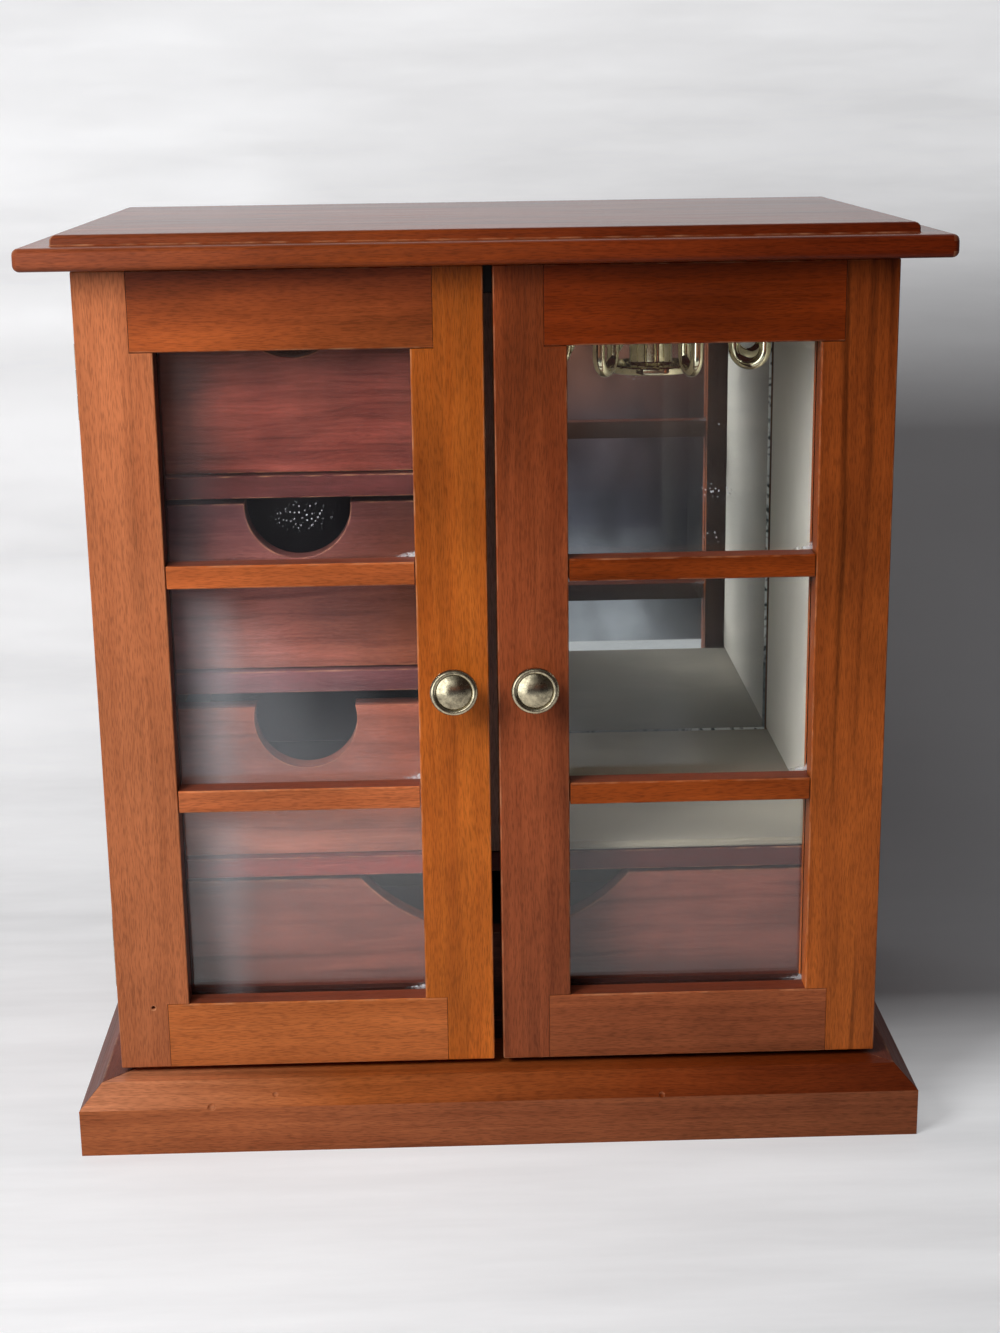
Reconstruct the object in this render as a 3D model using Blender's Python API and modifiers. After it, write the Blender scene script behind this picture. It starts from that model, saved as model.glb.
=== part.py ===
"""Small wooden jewelry cabinet: drawers and a hook carousel behind two glass doors.

Units are metres and +Z is up. The front faces -Y, and the origin is the middle of
the cabinet's footprint, on the surface that it stands on.
"""
import math

import bmesh
import bpy
from mathutils import Vector

# Whole case
CASE_WIDTH = 0.250
TOP_DEPTH = 0.171
JOINT_GAP = 0.0003

# Base plinth
PLINTH_HEIGHT = 0.0228
PLINTH_CHAMFER = 0.0069
PLINTH_OVERHANG = 0.0127
PLINTH_RAIL_WIDTH = 0.036
PLINTH_BACK_WIDTH = 0.018

# Top board
TOP_OVERHANG = 0.0144
TOP_EDGE_HEIGHT = 0.0069
TOP_EDGE_RADIUS = 0.0020
TOP_FIELD_RISE = 0.0032
TOP_FIELD_INSET = 0.0098
TOP_FIELD_RADIUS = 0.0018

# Case boards
SIDE_THICKNESS = 0.0125
BACK_THICKNESS = 0.0080
FLOOR_THICKNESS = 0.0067
CEILING_THICKNESS = 0.0098
SHELF_THICKNESS = 0.0067
DIVIDER_THICKNESS = 0.0072
PARTITION_THICKNESS = 0.0123
PARTITION_OFFSET = -0.0039
INNER_SETBACK = 0.0040
WIDE_BAY_HEIGHT = 0.0540
MIRROR_THICKNESS = 0.0030
LINING_THICKNESS = 0.0028

# Doors
DOOR_HEIGHT = 0.2602
DOOR_THICKNESS = 0.0140
DOOR_BOTTOM_GAP = 0.0021
DOOR_TOP_GAP = 0.0009
DOOR_MEETING_GAP = 0.0029
OUTER_STILE_WIDTH = 0.0234
INNER_STILE_WIDTH = 0.02245
TOP_RAIL_HEIGHT = 0.0246
BOTTOM_RAIL_HEIGHT = 0.0224
RAIL_LAP = 0.0070
MUNTIN_HEIGHT = 0.0073
LIGHTS_PER_DOOR = 3
GLASS_THICKNESS = 0.0020
GLASS_SETBACK = 0.0080
GLASS_GROOVE = 0.0040

# Hinges
HINGE_GAP = 0.0020
HINGE_HEIGHT = 0.0240
HINGE_INSET = 0.0350
LEAF_WIDTH = 0.0110
LEAF_THICKNESS = 0.0005
KNUCKLE_RADIUS = 0.0013
PIN_RADIUS = 0.00065
PIN_OUTSET = 0.00135

# Knobs
KNOB_DIAMETER = 0.0150
KNOB_PROJECTION = 0.0130
KNOB_RIM_THICKNESS = 0.0020
KNOB_RIM_SETBACK = 0.0018
KNOB_DOME_HEIGHT = 0.0014
KNOB_HEAD_TAPER = 0.0036
KNOB_STEM_DIAMETER = 0.0062
KNOB_FOOT_DIAMETER = 0.0090
KNOB_FOOT_THICKNESS = 0.0010
KNOB_STUD_DIAMETER = 0.0040
KNOB_STUD_LENGTH = 0.0100

# Magnetic catch
CATCH_WIDTH = 0.0190
CATCH_HEIGHT = 0.0104
CATCH_DOOR_GAP = 0.0012

# Drawers
DRAWER_SETBACK = 0.0030
DRAWER_SIDE_GAP = 0.0006
DRAWER_RUNNING_GAP = 0.0004
DRAWER_HEAD_GAP = 0.0021
LOWER_DRAWER_HEAD_GAP = 0.0056
DRAWER_REAR_GAP = 0.0040
DRAWER_FRONT_THICKNESS = 0.0080
DRAWER_BOARD_THICKNESS = 0.0055
DRAWER_BOTTOM_THICKNESS = 0.0030
DRAWER_BOX_INSET = 0.0005
DRAWER_BOX_DROP = 0.0100
SMALL_SCOOP_RADIUS = 0.0168
SMALL_SCOOP_DEPTH = 0.0180
LOWER_SCOOP_DEPTH = 0.0210
WIDE_SCOOP_WIDTH = 0.0900
WIDE_SCOOP_DEPTH = 0.0210

# Carousel
HOOK_COUNT = 8
HOOK_WALL_CLEARANCE = 0.0084
HOOK_ROD_RADIUS = 0.0020
HOOK_BEND_RADIUS = 0.0055
HOOK_TIP_HEIGHT = 0.0070
HOOK_BELOW_FOOT_TOP = 0.0009
CAROUSEL_REST_TURN = -7.0
CAROUSEL_DROP = 0.0339
CAROUSEL_RUNNING_GAP = 0.0005
HUB_RADIUS = 0.0120
HUB_HEIGHT = 0.0070
POST_RADIUS = 0.0073
FOOT_RADIUS = 0.0150
FOOT_THICKNESS = 0.0030
SPINDLE_RADIUS = 0.0020
SPINDLE_HEAD_RADIUS = 0.0040
SPINDLE_HEAD_THICKNESS = 0.0030
SPINDLE_GRIP = 0.0070

# Facets of the round pieces
TURNED_STEPS = 24
ROD_STEPS = 8
SCOOP_STEPS = 64
ARC_STEPS = 8

# Overshoot of a cutter past the faces that it opens
CUT_MARGIN = 0.0020

# Depths, from the front to the back
BACK_Y = TOP_DEPTH / 2
TOP_FRONT_Y = -TOP_DEPTH / 2
DOOR_FRONT_Y = TOP_FRONT_Y + TOP_OVERHANG
DOOR_BACK_Y = DOOR_FRONT_Y + DOOR_THICKNESS
PIN_Y = DOOR_BACK_Y + HINGE_GAP / 2
SIDE_FRONT_Y = DOOR_BACK_Y + HINGE_GAP
INNER_FRONT_Y = SIDE_FRONT_Y + INNER_SETBACK
BACK_PANEL_Y = BACK_Y - BACK_THICKNESS
BOARD_REAR_Y = BACK_PANEL_Y - JOINT_GAP
MIRROR_Y = BOARD_REAR_Y - MIRROR_THICKNESS
DRAWER_REAR_Y = BOARD_REAR_Y - DRAWER_REAR_GAP
DRAWER_FRONT_Y = INNER_FRONT_Y + DRAWER_SETBACK

# Heights, from the floor up
CASE_BOTTOM = PLINTH_HEIGHT + JOINT_GAP
WIDE_BAY_BOTTOM = CASE_BOTTOM + FLOOR_THICKNESS
SHELF_BOTTOM = WIDE_BAY_BOTTOM + WIDE_BAY_HEIGHT
SHELF_TOP = SHELF_BOTTOM + SHELF_THICKNESS
DOOR_BOTTOM = PLINTH_HEIGHT + DOOR_BOTTOM_GAP
DOOR_TOP = DOOR_BOTTOM + DOOR_HEIGHT
TOP_BOTTOM = DOOR_TOP + DOOR_TOP_GAP
CASE_TOP = TOP_BOTTOM - JOINT_GAP
CEILING_BOTTOM = CASE_TOP - CEILING_THICKNESS
LIGHT_BOTTOM = DOOR_BOTTOM + BOTTOM_RAIL_HEIGHT
LIGHT_TOP = DOOR_TOP - TOP_RAIL_HEIGHT
SMALL_BAY_HEIGHT = (CEILING_BOTTOM - SHELF_TOP - 2 * DIVIDER_THICKNESS) / 3

# Widths, from the left to the right
CASE_HALF = CASE_WIDTH / 2
INNER_HALF = CASE_HALF - SIDE_THICKNESS
PARTITION_LEFT = PARTITION_OFFSET - PARTITION_THICKNESS / 2
PARTITION_RIGHT = PARTITION_OFFSET + PARTITION_THICKNESS / 2
LINING_LEFT = PARTITION_RIGHT + JOINT_GAP
LINING_RIGHT = INNER_HALF - JOINT_GAP
PIN_X = CASE_HALF + PIN_OUTSET
STILE_INNER_X = DOOR_MEETING_GAP / 2
LIGHT_INNER_X = STILE_INNER_X + INNER_STILE_WIDTH
LIGHT_OUTER_X = CASE_HALF - OUTER_STILE_WIDTH

# Carousel axis: the middle of the lined bay
CAROUSEL_X = (LINING_LEFT + LINING_RIGHT) / 2
CAROUSEL_Y = (INNER_FRONT_Y + MIRROR_Y) / 2

for old_object in list(bpy.data.objects):
    bpy.data.objects.remove(old_object, do_unlink=True)

cabinet_parts = bpy.data.collections.new("jewelry_cabinet")
cabinet_cutters = bpy.data.collections.new("jewelry_cabinet_cutters")
bpy.context.scene.collection.children.link(cabinet_parts)
bpy.context.scene.collection.children.link(cabinet_cutters)


def make_finish(name, colour, roughness, metallic=0.0, transmission=0.0):
    """One surface finish: base colour, gloss and metal share."""
    finish = bpy.data.materials.new(name)
    finish.use_nodes = True
    surface = finish.node_tree.nodes["Principled BSDF"]
    surface.inputs["Base Color"].default_value = (*colour, 1.0)
    surface.inputs["Roughness"].default_value = roughness
    surface.inputs["Metallic"].default_value = metallic
    surface.inputs["Transmission Weight"].default_value = transmission
    return finish


FRAME_WOOD = make_finish("cherry_frame_wood", (0.250, 0.075, 0.025), 0.35)
TOP_WOOD = make_finish("cherry_top_wood", (0.190, 0.055, 0.025), 0.30)
CASE_WOOD = make_finish("cherry_case_wood", (0.160, 0.045, 0.025), 0.40)
DRAWER_WOOD = make_finish("cherry_drawer_wood", (0.180, 0.055, 0.035), 0.40)
INNER_BOARD = make_finish("plain_inner_board", (0.330, 0.220, 0.140), 0.60)
CREAM_VELVET = make_finish("cream_velvet", (0.600, 0.570, 0.500), 0.90)
CLEAR_GLASS = make_finish("clear_glass", (0.950, 0.970, 0.970), 0.03, transmission=1.0)
SILVERED_GLASS = make_finish("silvered_glass", (0.800, 0.810, 0.820), 0.03, metallic=1.0)
AGED_BRASS = make_finish("aged_brass", (0.330, 0.240, 0.120), 0.35, metallic=1.0)
PLATED_BRASS = make_finish("plated_brass", (0.620, 0.460, 0.200), 0.18, metallic=1.0)
BLACK_PLASTIC = make_finish("black_plastic", (0.015, 0.015, 0.017), 0.45)


def mirrored(side, near, far):
    """The lower and upper X limit of a stretch on the left (-1) or right (+1)."""
    return tuple(sorted((side * near, side * far)))


def axis_marker(name, location):
    """An empty on a joint's axis that carries the pieces of one moving body."""
    marker = bpy.data.objects.new(name, None)
    marker.empty_display_size = 0.02
    marker.location = location
    cabinet_parts.objects.link(marker)
    return marker


def add_part(name, mesh, location, finish, axis=None):
    """Put a mesh in the cabinet as a named piece, on its body's axis if it moves."""
    part = bpy.data.objects.new(name, mesh)
    part.location = location
    part.data.materials.append(finish)
    cabinet_parts.objects.link(part)
    if axis is not None:
        part.parent = axis
        part.location = Vector(location) - axis.location
    return part


def add_cutter(name, mesh, location):
    """Put a mesh in the cabinet as a shape that cuts or joins others."""
    cutter = bpy.data.objects.new(name, mesh)
    cutter.location = location
    cutter.hide_render = True
    cutter.display_type = "WIRE"
    cabinet_cutters.objects.link(cutter)
    return cutter


def box_mesh(name, size):
    """A box of the given size about its own middle."""
    mesh = bpy.data.meshes.new(name)
    shape = bmesh.new()
    bmesh.ops.create_cube(shape, size=1.0)
    bmesh.ops.scale(shape, vec=size, verts=shape.verts)
    shape.to_mesh(mesh)
    shape.free()
    return mesh


def cylinder_mesh(name, radius, length, steps):
    """A cylinder along Z about its own middle."""
    mesh = bpy.data.meshes.new(name)
    shape = bmesh.new()
    bmesh.ops.create_cone(
        shape, cap_ends=True, segments=steps, radius1=radius, radius2=radius, depth=length
    )
    shape.to_mesh(mesh)
    shape.free()
    return mesh


def size_and_middle(x_limits, y_limits, z_limits):
    """A box's size and middle from its limits on the three axes."""
    low = Vector((x_limits[0], y_limits[0], z_limits[0]))
    high = Vector((x_limits[1], y_limits[1], z_limits[1]))
    return high - low, (low + high) / 2


def board(name, x_limits, y_limits, z_limits, finish, axis=None):
    """A plain rectangular board between its limits."""
    size, middle = size_and_middle(x_limits, y_limits, z_limits)
    return add_part(name, box_mesh(name, size), middle, finish, axis)


def box_cutter(name, x_limits, y_limits, z_limits):
    """A rectangular cutter between its limits."""
    size, middle = size_and_middle(x_limits, y_limits, z_limits)
    return add_cutter(name, box_mesh(name, size), middle)


def upright_cutter(name, radius, x, y, z_limits, steps=TURNED_STEPS):
    """A round cutter along Z."""
    length = z_limits[1] - z_limits[0]
    mesh = cylinder_mesh(name, radius, length, steps)
    return add_cutter(name, mesh, (x, y, (z_limits[0] + z_limits[1]) / 2))


def level_cutter(name, radius, x, y_limits, z, steps):
    """A round cutter along Y."""
    length = y_limits[1] - y_limits[0]
    cutter = add_cutter(name, cylinder_mesh(name, radius, length, steps), (x, sum(y_limits) / 2, z))
    cutter.rotation_euler = (math.pi / 2, 0.0, 0.0)
    return cutter


def combine(part, other, operation):
    """Cut another shape out of a piece, or join it on."""
    step = part.modifiers.new(f"{operation.lower()}_{other.name}", "BOOLEAN")
    step.operation = operation
    step.object = other
    step.solver = "EXACT"


def cut(part, cutter):
    combine(part, cutter, "DIFFERENCE")


def join(part, shape):
    combine(part, shape, "UNION")


def turned_mesh(name, outline, closed):
    """A turned mesh about Z from (radius, height) points that run down the outer side."""
    mesh = bpy.data.meshes.new(name)
    last = len(outline) - 1
    edges = [(index, index + 1) for index in range(last)]
    if closed:
        edges.append((last, 0))
    mesh.from_pydata([(radius, 0.0, height) for radius, height in outline], edges, [])
    return mesh


def lathe_turn(part):
    """Spin a piece's profile through a full turn about its own Z axis."""
    lathe = part.modifiers.new("turning", "SCREW")
    lathe.steps = TURNED_STEPS
    lathe.render_steps = TURNED_STEPS
    lathe.use_merge_vertices = True
    lathe.merge_threshold = 0.00001
    lathe.use_smooth_shade = True


def arc(centre, radius, start, end):
    """Points of a round stretch about a centre, from one angle to another."""
    angles = [start + (end - start) * step / ARC_STEPS for step in range(ARC_STEPS + 1)]
    return [(centre[0] + radius * math.cos(turn), centre[1] + radius * math.sin(turn)) for turn in angles]


def edges_on(shape, test):
    """The edges whose two ends both pass a test of place."""
    return [edge for edge in shape.edges if all(test(vertex.co) for vertex in edge.verts)]


def near(value, target):
    return abs(value - target) < 0.00005


def make_plinth():
    """The base: chamfered mouldings on three sides and a plain back rail, glued into a frame."""
    half = CASE_HALF + PLINTH_OVERHANG
    front = DOOR_FRONT_Y - PLINTH_OVERHANG
    plinth = board("base_plinth", (-half, half), (front, BACK_Y), (0.0, PLINTH_HEIGHT), FRAME_WOOD)
    shape = bmesh.new()
    shape.from_mesh(plinth.data)
    top_edges = edges_on(shape, lambda place: near(place.z, PLINTH_HEIGHT / 2))
    half_depth = (BACK_Y - front) / 2
    back_edges = edges_on(shape, lambda place: near(place.y, half_depth))
    moulded = [edge for edge in top_edges if edge not in back_edges]
    bmesh.ops.bevel(shape, geom=moulded, offset=PLINTH_CHAMFER, segments=1, affect="EDGES")
    shape.to_mesh(plinth.data)
    shape.free()
    inner_half = half - PLINTH_RAIL_WIDTH
    hollow = box_cutter(
        "plinth_hollow",
        (-inner_half, inner_half),
        (front + PLINTH_RAIL_WIDTH, BACK_Y - PLINTH_BACK_WIDTH),
        (-CUT_MARGIN, PLINTH_HEIGHT + CUT_MARGIN),
    )
    cut(plinth, hollow)


def make_top_board():
    """The top: a routed step and raised field on three sides, sawn square at the back."""
    half = CASE_HALF + TOP_OVERHANG
    spare = TOP_FIELD_INSET + CUT_MARGIN
    size = Vector((2 * half, TOP_DEPTH + spare, TOP_EDGE_HEIGHT))
    shape = bmesh.new()
    bmesh.ops.create_cube(shape, size=1.0)
    bmesh.ops.scale(shape, vec=size, verts=shape.verts)
    bmesh.ops.translate(shape, vec=(0.0, spare / 2, TOP_EDGE_HEIGHT / 2), verts=shape.verts)
    upper = [face for face in shape.faces if face.normal.z > 0.5]
    bmesh.ops.inset_region(shape, faces=upper, thickness=TOP_FIELD_INSET, use_even_offset=True)
    raised = bmesh.ops.extrude_face_region(shape, geom=upper)["geom"]
    bmesh.ops.delete(shape, geom=upper, context="FACES_ONLY")
    raised_corners = [item for item in raised if isinstance(item, bmesh.types.BMVert)]
    bmesh.ops.translate(shape, vec=(0.0, 0.0, TOP_FIELD_RISE), verts=raised_corners)
    field_height = TOP_EDGE_HEIGHT + TOP_FIELD_RISE
    field_edges = edges_on(shape, lambda place: near(place.z, field_height))
    bmesh.ops.bevel(shape, geom=field_edges, offset=TOP_FIELD_RADIUS, segments=3, profile=0.5, affect="EDGES")
    outer_edges = edges_on(shape, lambda place: near(abs(place.x), half) or near(place.y, TOP_FRONT_Y))
    level_rim = [edge for edge in outer_edges if near(edge.verts[0].co.z, edge.verts[1].co.z)]
    bmesh.ops.bevel(shape, geom=level_rim, offset=TOP_EDGE_RADIUS, segments=3, profile=0.5, affect="EDGES")
    everything = list(shape.verts) + list(shape.edges) + list(shape.faces)
    sawn = bmesh.ops.bisect_plane(
        shape, geom=everything, plane_co=(0.0, BACK_Y, 0.0), plane_no=(0.0, 1.0, 0.0), clear_outer=True
    )
    sawn_edges = [item for item in sawn["geom_cut"] if isinstance(item, bmesh.types.BMEdge)]
    bmesh.ops.edgeloop_fill(shape, edges=sawn_edges)
    bmesh.ops.recalc_face_normals(shape, faces=shape.faces)
    mesh = bpy.data.meshes.new("top_board")
    shape.to_mesh(mesh)
    shape.free()
    add_part("top_board", mesh, (0.0, 0.0, TOP_BOTTOM), TOP_WOOD)


def make_case():
    """The carcass boards: sides, floor, ceiling, back, partition, shelf and dividers."""
    for label, side in (("left", -1), ("right", 1)):
        x_limits = mirrored(side, INNER_HALF, CASE_HALF)
        board(f"{label}_side_panel", x_limits, (SIDE_FRONT_Y, BACK_Y), (CASE_BOTTOM, CASE_TOP), CASE_WOOD)
    between = (-INNER_HALF + JOINT_GAP, INNER_HALF - JOINT_GAP)
    inner_depth = (INNER_FRONT_Y, BOARD_REAR_Y)
    board("back_panel", between, (BACK_PANEL_Y, BACK_Y), (CASE_BOTTOM, CASE_TOP), INNER_BOARD)
    board("bottom_board", between, inner_depth, (CASE_BOTTOM, WIDE_BAY_BOTTOM), CASE_WOOD)
    board("lower_shelf", between, inner_depth, (SHELF_BOTTOM, SHELF_TOP), CASE_WOOD)
    board(
        "centre_partition",
        (PARTITION_LEFT, PARTITION_RIGHT),
        inner_depth,
        (SHELF_TOP + JOINT_GAP, CEILING_BOTTOM - JOINT_GAP),
        CASE_WOOD,
    )
    divider_width = (-INNER_HALF + JOINT_GAP, PARTITION_LEFT - JOINT_GAP)
    lower_divider = SHELF_TOP + SMALL_BAY_HEIGHT
    upper_divider = lower_divider + DIVIDER_THICKNESS + SMALL_BAY_HEIGHT
    for label, bottom in (("lower", lower_divider), ("upper", upper_divider)):
        z_limits = (bottom, bottom + DIVIDER_THICKNESS)
        board(f"{label}_drawer_divider", divider_width, inner_depth, z_limits, CASE_WOOD)
    ceiling = board("ceiling_board", between, inner_depth, (CEILING_BOTTOM, CASE_TOP), CASE_WOOD)
    screw_hole = upright_cutter(
        "spindle_hole",
        SPINDLE_RADIUS + JOINT_GAP,
        CAROUSEL_X,
        CAROUSEL_Y,
        (CEILING_BOTTOM - CUT_MARGIN, CEILING_BOTTOM + SPINDLE_GRIP + JOINT_GAP),
    )
    cut(ceiling, screw_hole)


def make_mirror_and_lining():
    """The mirror behind the right bay, and the velvet card folded round its floor and walls."""
    x_limits = (LINING_LEFT, LINING_RIGHT)
    z_limits = (SHELF_TOP + JOINT_GAP, CEILING_BOTTOM - JOINT_GAP)
    board("mirror", x_limits, (MIRROR_Y, BOARD_REAR_Y), z_limits, SILVERED_GLASS)
    y_limits = (INNER_FRONT_Y, MIRROR_Y - JOINT_GAP)
    lining = board("compartment_lining", x_limits, y_limits, z_limits, CREAM_VELVET)
    room = box_cutter(
        "lining_room",
        (LINING_LEFT + LINING_THICKNESS, LINING_RIGHT - LINING_THICKNESS),
        (INNER_FRONT_Y - CUT_MARGIN, MIRROR_Y + CUT_MARGIN),
        (SHELF_TOP + JOINT_GAP + LINING_THICKNESS, CEILING_BOTTOM + CUT_MARGIN),
    )
    cut(lining, room)


def make_catch():
    """The black magnetic catch on the ceiling's front edge, facing both doors."""
    half = CATCH_WIDTH / 2
    y_limits = (DOOR_BACK_Y + CATCH_DOOR_GAP, INNER_FRONT_Y - JOINT_GAP)
    board("magnetic_catch", (-half, half), y_limits, (CASE_TOP - CATCH_HEIGHT, CASE_TOP), BLACK_PLASTIC)


def make_knob(label, side, axis, stile):
    """A turned knob: dome, ring groove and rim on a waisted stem, with a stud in the stile."""
    bead = KNOB_RIM_THICKNESS / 2
    stem = KNOB_STEM_DIAMETER / 2
    foot = KNOB_FOOT_DIAMETER / 2
    stud = KNOB_STUD_DIAMETER / 2
    rim_middle = (KNOB_DIAMETER / 2 - bead, KNOB_PROJECTION - KNOB_RIM_SETBACK)
    groove = rim_middle[0] - bead
    dome_radius = (groove**2 + KNOB_DOME_HEIGHT**2) / (2 * KNOB_DOME_HEIGHT)
    dome_middle = (0.0, KNOB_PROJECTION - dome_radius)
    dome_edge = math.acos(groove / dome_radius)
    flare = foot - stem
    foot_top = JOINT_GAP + KNOB_FOOT_THICKNESS
    outline = arc(dome_middle, dome_radius, math.pi / 2, dome_edge)
    outline += arc(rim_middle, bead, math.pi, -math.pi / 2)
    outline += [(stem, rim_middle[1] - KNOB_HEAD_TAPER)]
    outline += arc((foot, foot_top + flare), flare, math.pi, 1.5 * math.pi)
    outline += [(foot, JOINT_GAP), (stud, JOINT_GAP), (stud, -KNOB_STUD_LENGTH), (0.0, -KNOB_STUD_LENGTH)]
    x = side * (STILE_INNER_X + INNER_STILE_WIDTH / 2)
    z = (DOOR_BOTTOM + DOOR_TOP) / 2
    name = f"{label}_door_knob"
    knob = add_part(name, turned_mesh(name, outline, closed=False), (x, DOOR_FRONT_Y, z), AGED_BRASS, axis)
    knob.rotation_euler = (math.pi / 2, 0.0, 0.0)
    lathe_turn(knob)
    bore = level_cutter(
        f"{label}_knob_bore",
        stud + JOINT_GAP,
        x,
        (DOOR_FRONT_Y - CUT_MARGIN, DOOR_FRONT_Y + KNOB_STUD_LENGTH + JOINT_GAP),
        z,
        TURNED_STEPS,
    )
    cut(stile, bore)


def make_door(label, side, axis):
    """One door: lapped stiles and rails, two muntins and a glass sheet in a groove."""
    y_limits = (DOOR_FRONT_Y, DOOR_BACK_Y)
    through = (DOOR_FRONT_Y - CUT_MARGIN, DOOR_BACK_Y + CUT_MARGIN)
    full_height = (DOOR_BOTTOM, DOOR_TOP)
    outer_limits = mirrored(side, LIGHT_OUTER_X, CASE_HALF)
    inner_limits = mirrored(side, STILE_INNER_X, LIGHT_INNER_X)
    outer = board(f"{label}_door_outer_stile", outer_limits, y_limits, full_height, FRAME_WOOD, axis)
    inner = board(f"{label}_door_inner_stile", inner_limits, y_limits, full_height, FRAME_WOOD, axis)

    rail_near = LIGHT_INNER_X - RAIL_LAP
    rail_far = LIGHT_OUTER_X + RAIL_LAP
    rail_limits = mirrored(side, rail_near, rail_far)
    room_limits = mirrored(side, rail_near - JOINT_GAP, rail_far + JOINT_GAP)
    rails = []
    for place, z_limits, room_z in (
        ("top", (LIGHT_TOP, DOOR_TOP), (LIGHT_TOP - JOINT_GAP, DOOR_TOP + CUT_MARGIN)),
        ("bottom", (DOOR_BOTTOM, LIGHT_BOTTOM), (DOOR_BOTTOM - CUT_MARGIN, LIGHT_BOTTOM + JOINT_GAP)),
    ):
        rails.append(board(f"{label}_door_{place}_rail", rail_limits, y_limits, z_limits, FRAME_WOOD, axis))
        lap = box_cutter(f"{label}_{place}_rail_lap", room_limits, through, room_z)
        cut(outer, lap)
        cut(inner, lap)

    glass_front = DOOR_FRONT_Y + GLASS_SETBACK
    glass_back = glass_front + GLASS_THICKNESS
    seat = GLASS_GROOVE - JOINT_GAP
    glass_limits = mirrored(side, LIGHT_INNER_X - seat, LIGHT_OUTER_X + seat)
    glass_height = (LIGHT_BOTTOM - seat, LIGHT_TOP + seat)
    board(f"{label}_door_glass", glass_limits, (glass_front, glass_back), glass_height, CLEAR_GLASS, axis)
    groove = box_cutter(
        f"{label}_glass_groove",
        mirrored(side, LIGHT_INNER_X - GLASS_GROOVE, LIGHT_OUTER_X + GLASS_GROOVE),
        (glass_front - JOINT_GAP, glass_back + JOINT_GAP),
        (LIGHT_BOTTOM - GLASS_GROOVE, LIGHT_TOP + GLASS_GROOVE),
    )
    for framing in (outer, inner, *rails):
        cut(framing, groove)

    muntin_limits = mirrored(side, LIGHT_INNER_X + JOINT_GAP, LIGHT_OUTER_X - JOINT_GAP)
    muntin_depth = (DOOR_FRONT_Y, glass_front - JOINT_GAP)
    muntin_count = LIGHTS_PER_DOOR - 1
    light_height = (LIGHT_TOP - LIGHT_BOTTOM - muntin_count * MUNTIN_HEIGHT) / LIGHTS_PER_DOOR
    for index, place in enumerate(("lower", "upper")):
        bottom = LIGHT_BOTTOM + light_height + index * (light_height + MUNTIN_HEIGHT)
        z_limits = (bottom, bottom + MUNTIN_HEIGHT)
        board(f"{label}_door_{place}_muntin", muntin_limits, muntin_depth, z_limits, FRAME_WOOD, axis)
    make_knob(label, side, axis, inner)


def make_hinge(label, side, place, middle, axis):
    """A butt hinge in the gap behind the door: case leaf with the pin, and door leaf round it."""
    pin_x = side * PIN_X
    plate_edge = PIN_X - KNUCKLE_RADIUS - JOINT_GAP
    plate_limits = mirrored(side, PIN_X - LEAF_WIDTH, plate_edge)
    tab_limits = mirrored(side, plate_edge - KNUCKLE_RADIUS, PIN_X)
    knuckle = HINGE_HEIGHT / 3
    low = middle - HINGE_HEIGHT / 2
    high = middle + HINGE_HEIGHT / 2
    case_side = (SIDE_FRONT_Y - JOINT_GAP - LEAF_THICKNESS, SIDE_FRONT_Y - JOINT_GAP)
    door_side = (DOOR_BACK_Y + JOINT_GAP, DOOR_BACK_Y + JOINT_GAP + LEAF_THICKNESS)
    name = f"{label}_{place}_hinge"

    case_leaf = board(f"{name}_case_leaf", plate_limits, case_side, (low, high), AGED_BRASS)
    end_gap = JOINT_GAP / 2
    for end, z_limits in (
        ("low", (low, low + knuckle - end_gap)),
        ("high", (high - knuckle + end_gap, high)),
    ):
        join(case_leaf, box_cutter(f"{name}_{end}_tab", tab_limits, case_side, z_limits))
        join(case_leaf, upright_cutter(f"{name}_{end}_knuckle", KNUCKLE_RADIUS, pin_x, PIN_Y, z_limits))
    pin_limits = (low + knuckle / 2, high - knuckle / 2)
    join(case_leaf, upright_cutter(f"{name}_pin", PIN_RADIUS, pin_x, PIN_Y, pin_limits))

    door_leaf = board(f"{name}_door_leaf", plate_limits, door_side, (low, high), AGED_BRASS, axis)
    z_limits = (low + knuckle + end_gap, high - knuckle - end_gap)
    join(door_leaf, box_cutter(f"{name}_door_tab", tab_limits, door_side, z_limits))
    join(door_leaf, upright_cutter(f"{name}_door_knuckle", KNUCKLE_RADIUS, pin_x, PIN_Y, z_limits))
    bore_limits = (low, high)
    cut(door_leaf, upright_cutter(f"{name}_pin_bore", PIN_RADIUS + JOINT_GAP, pin_x, PIN_Y, bore_limits))


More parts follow.
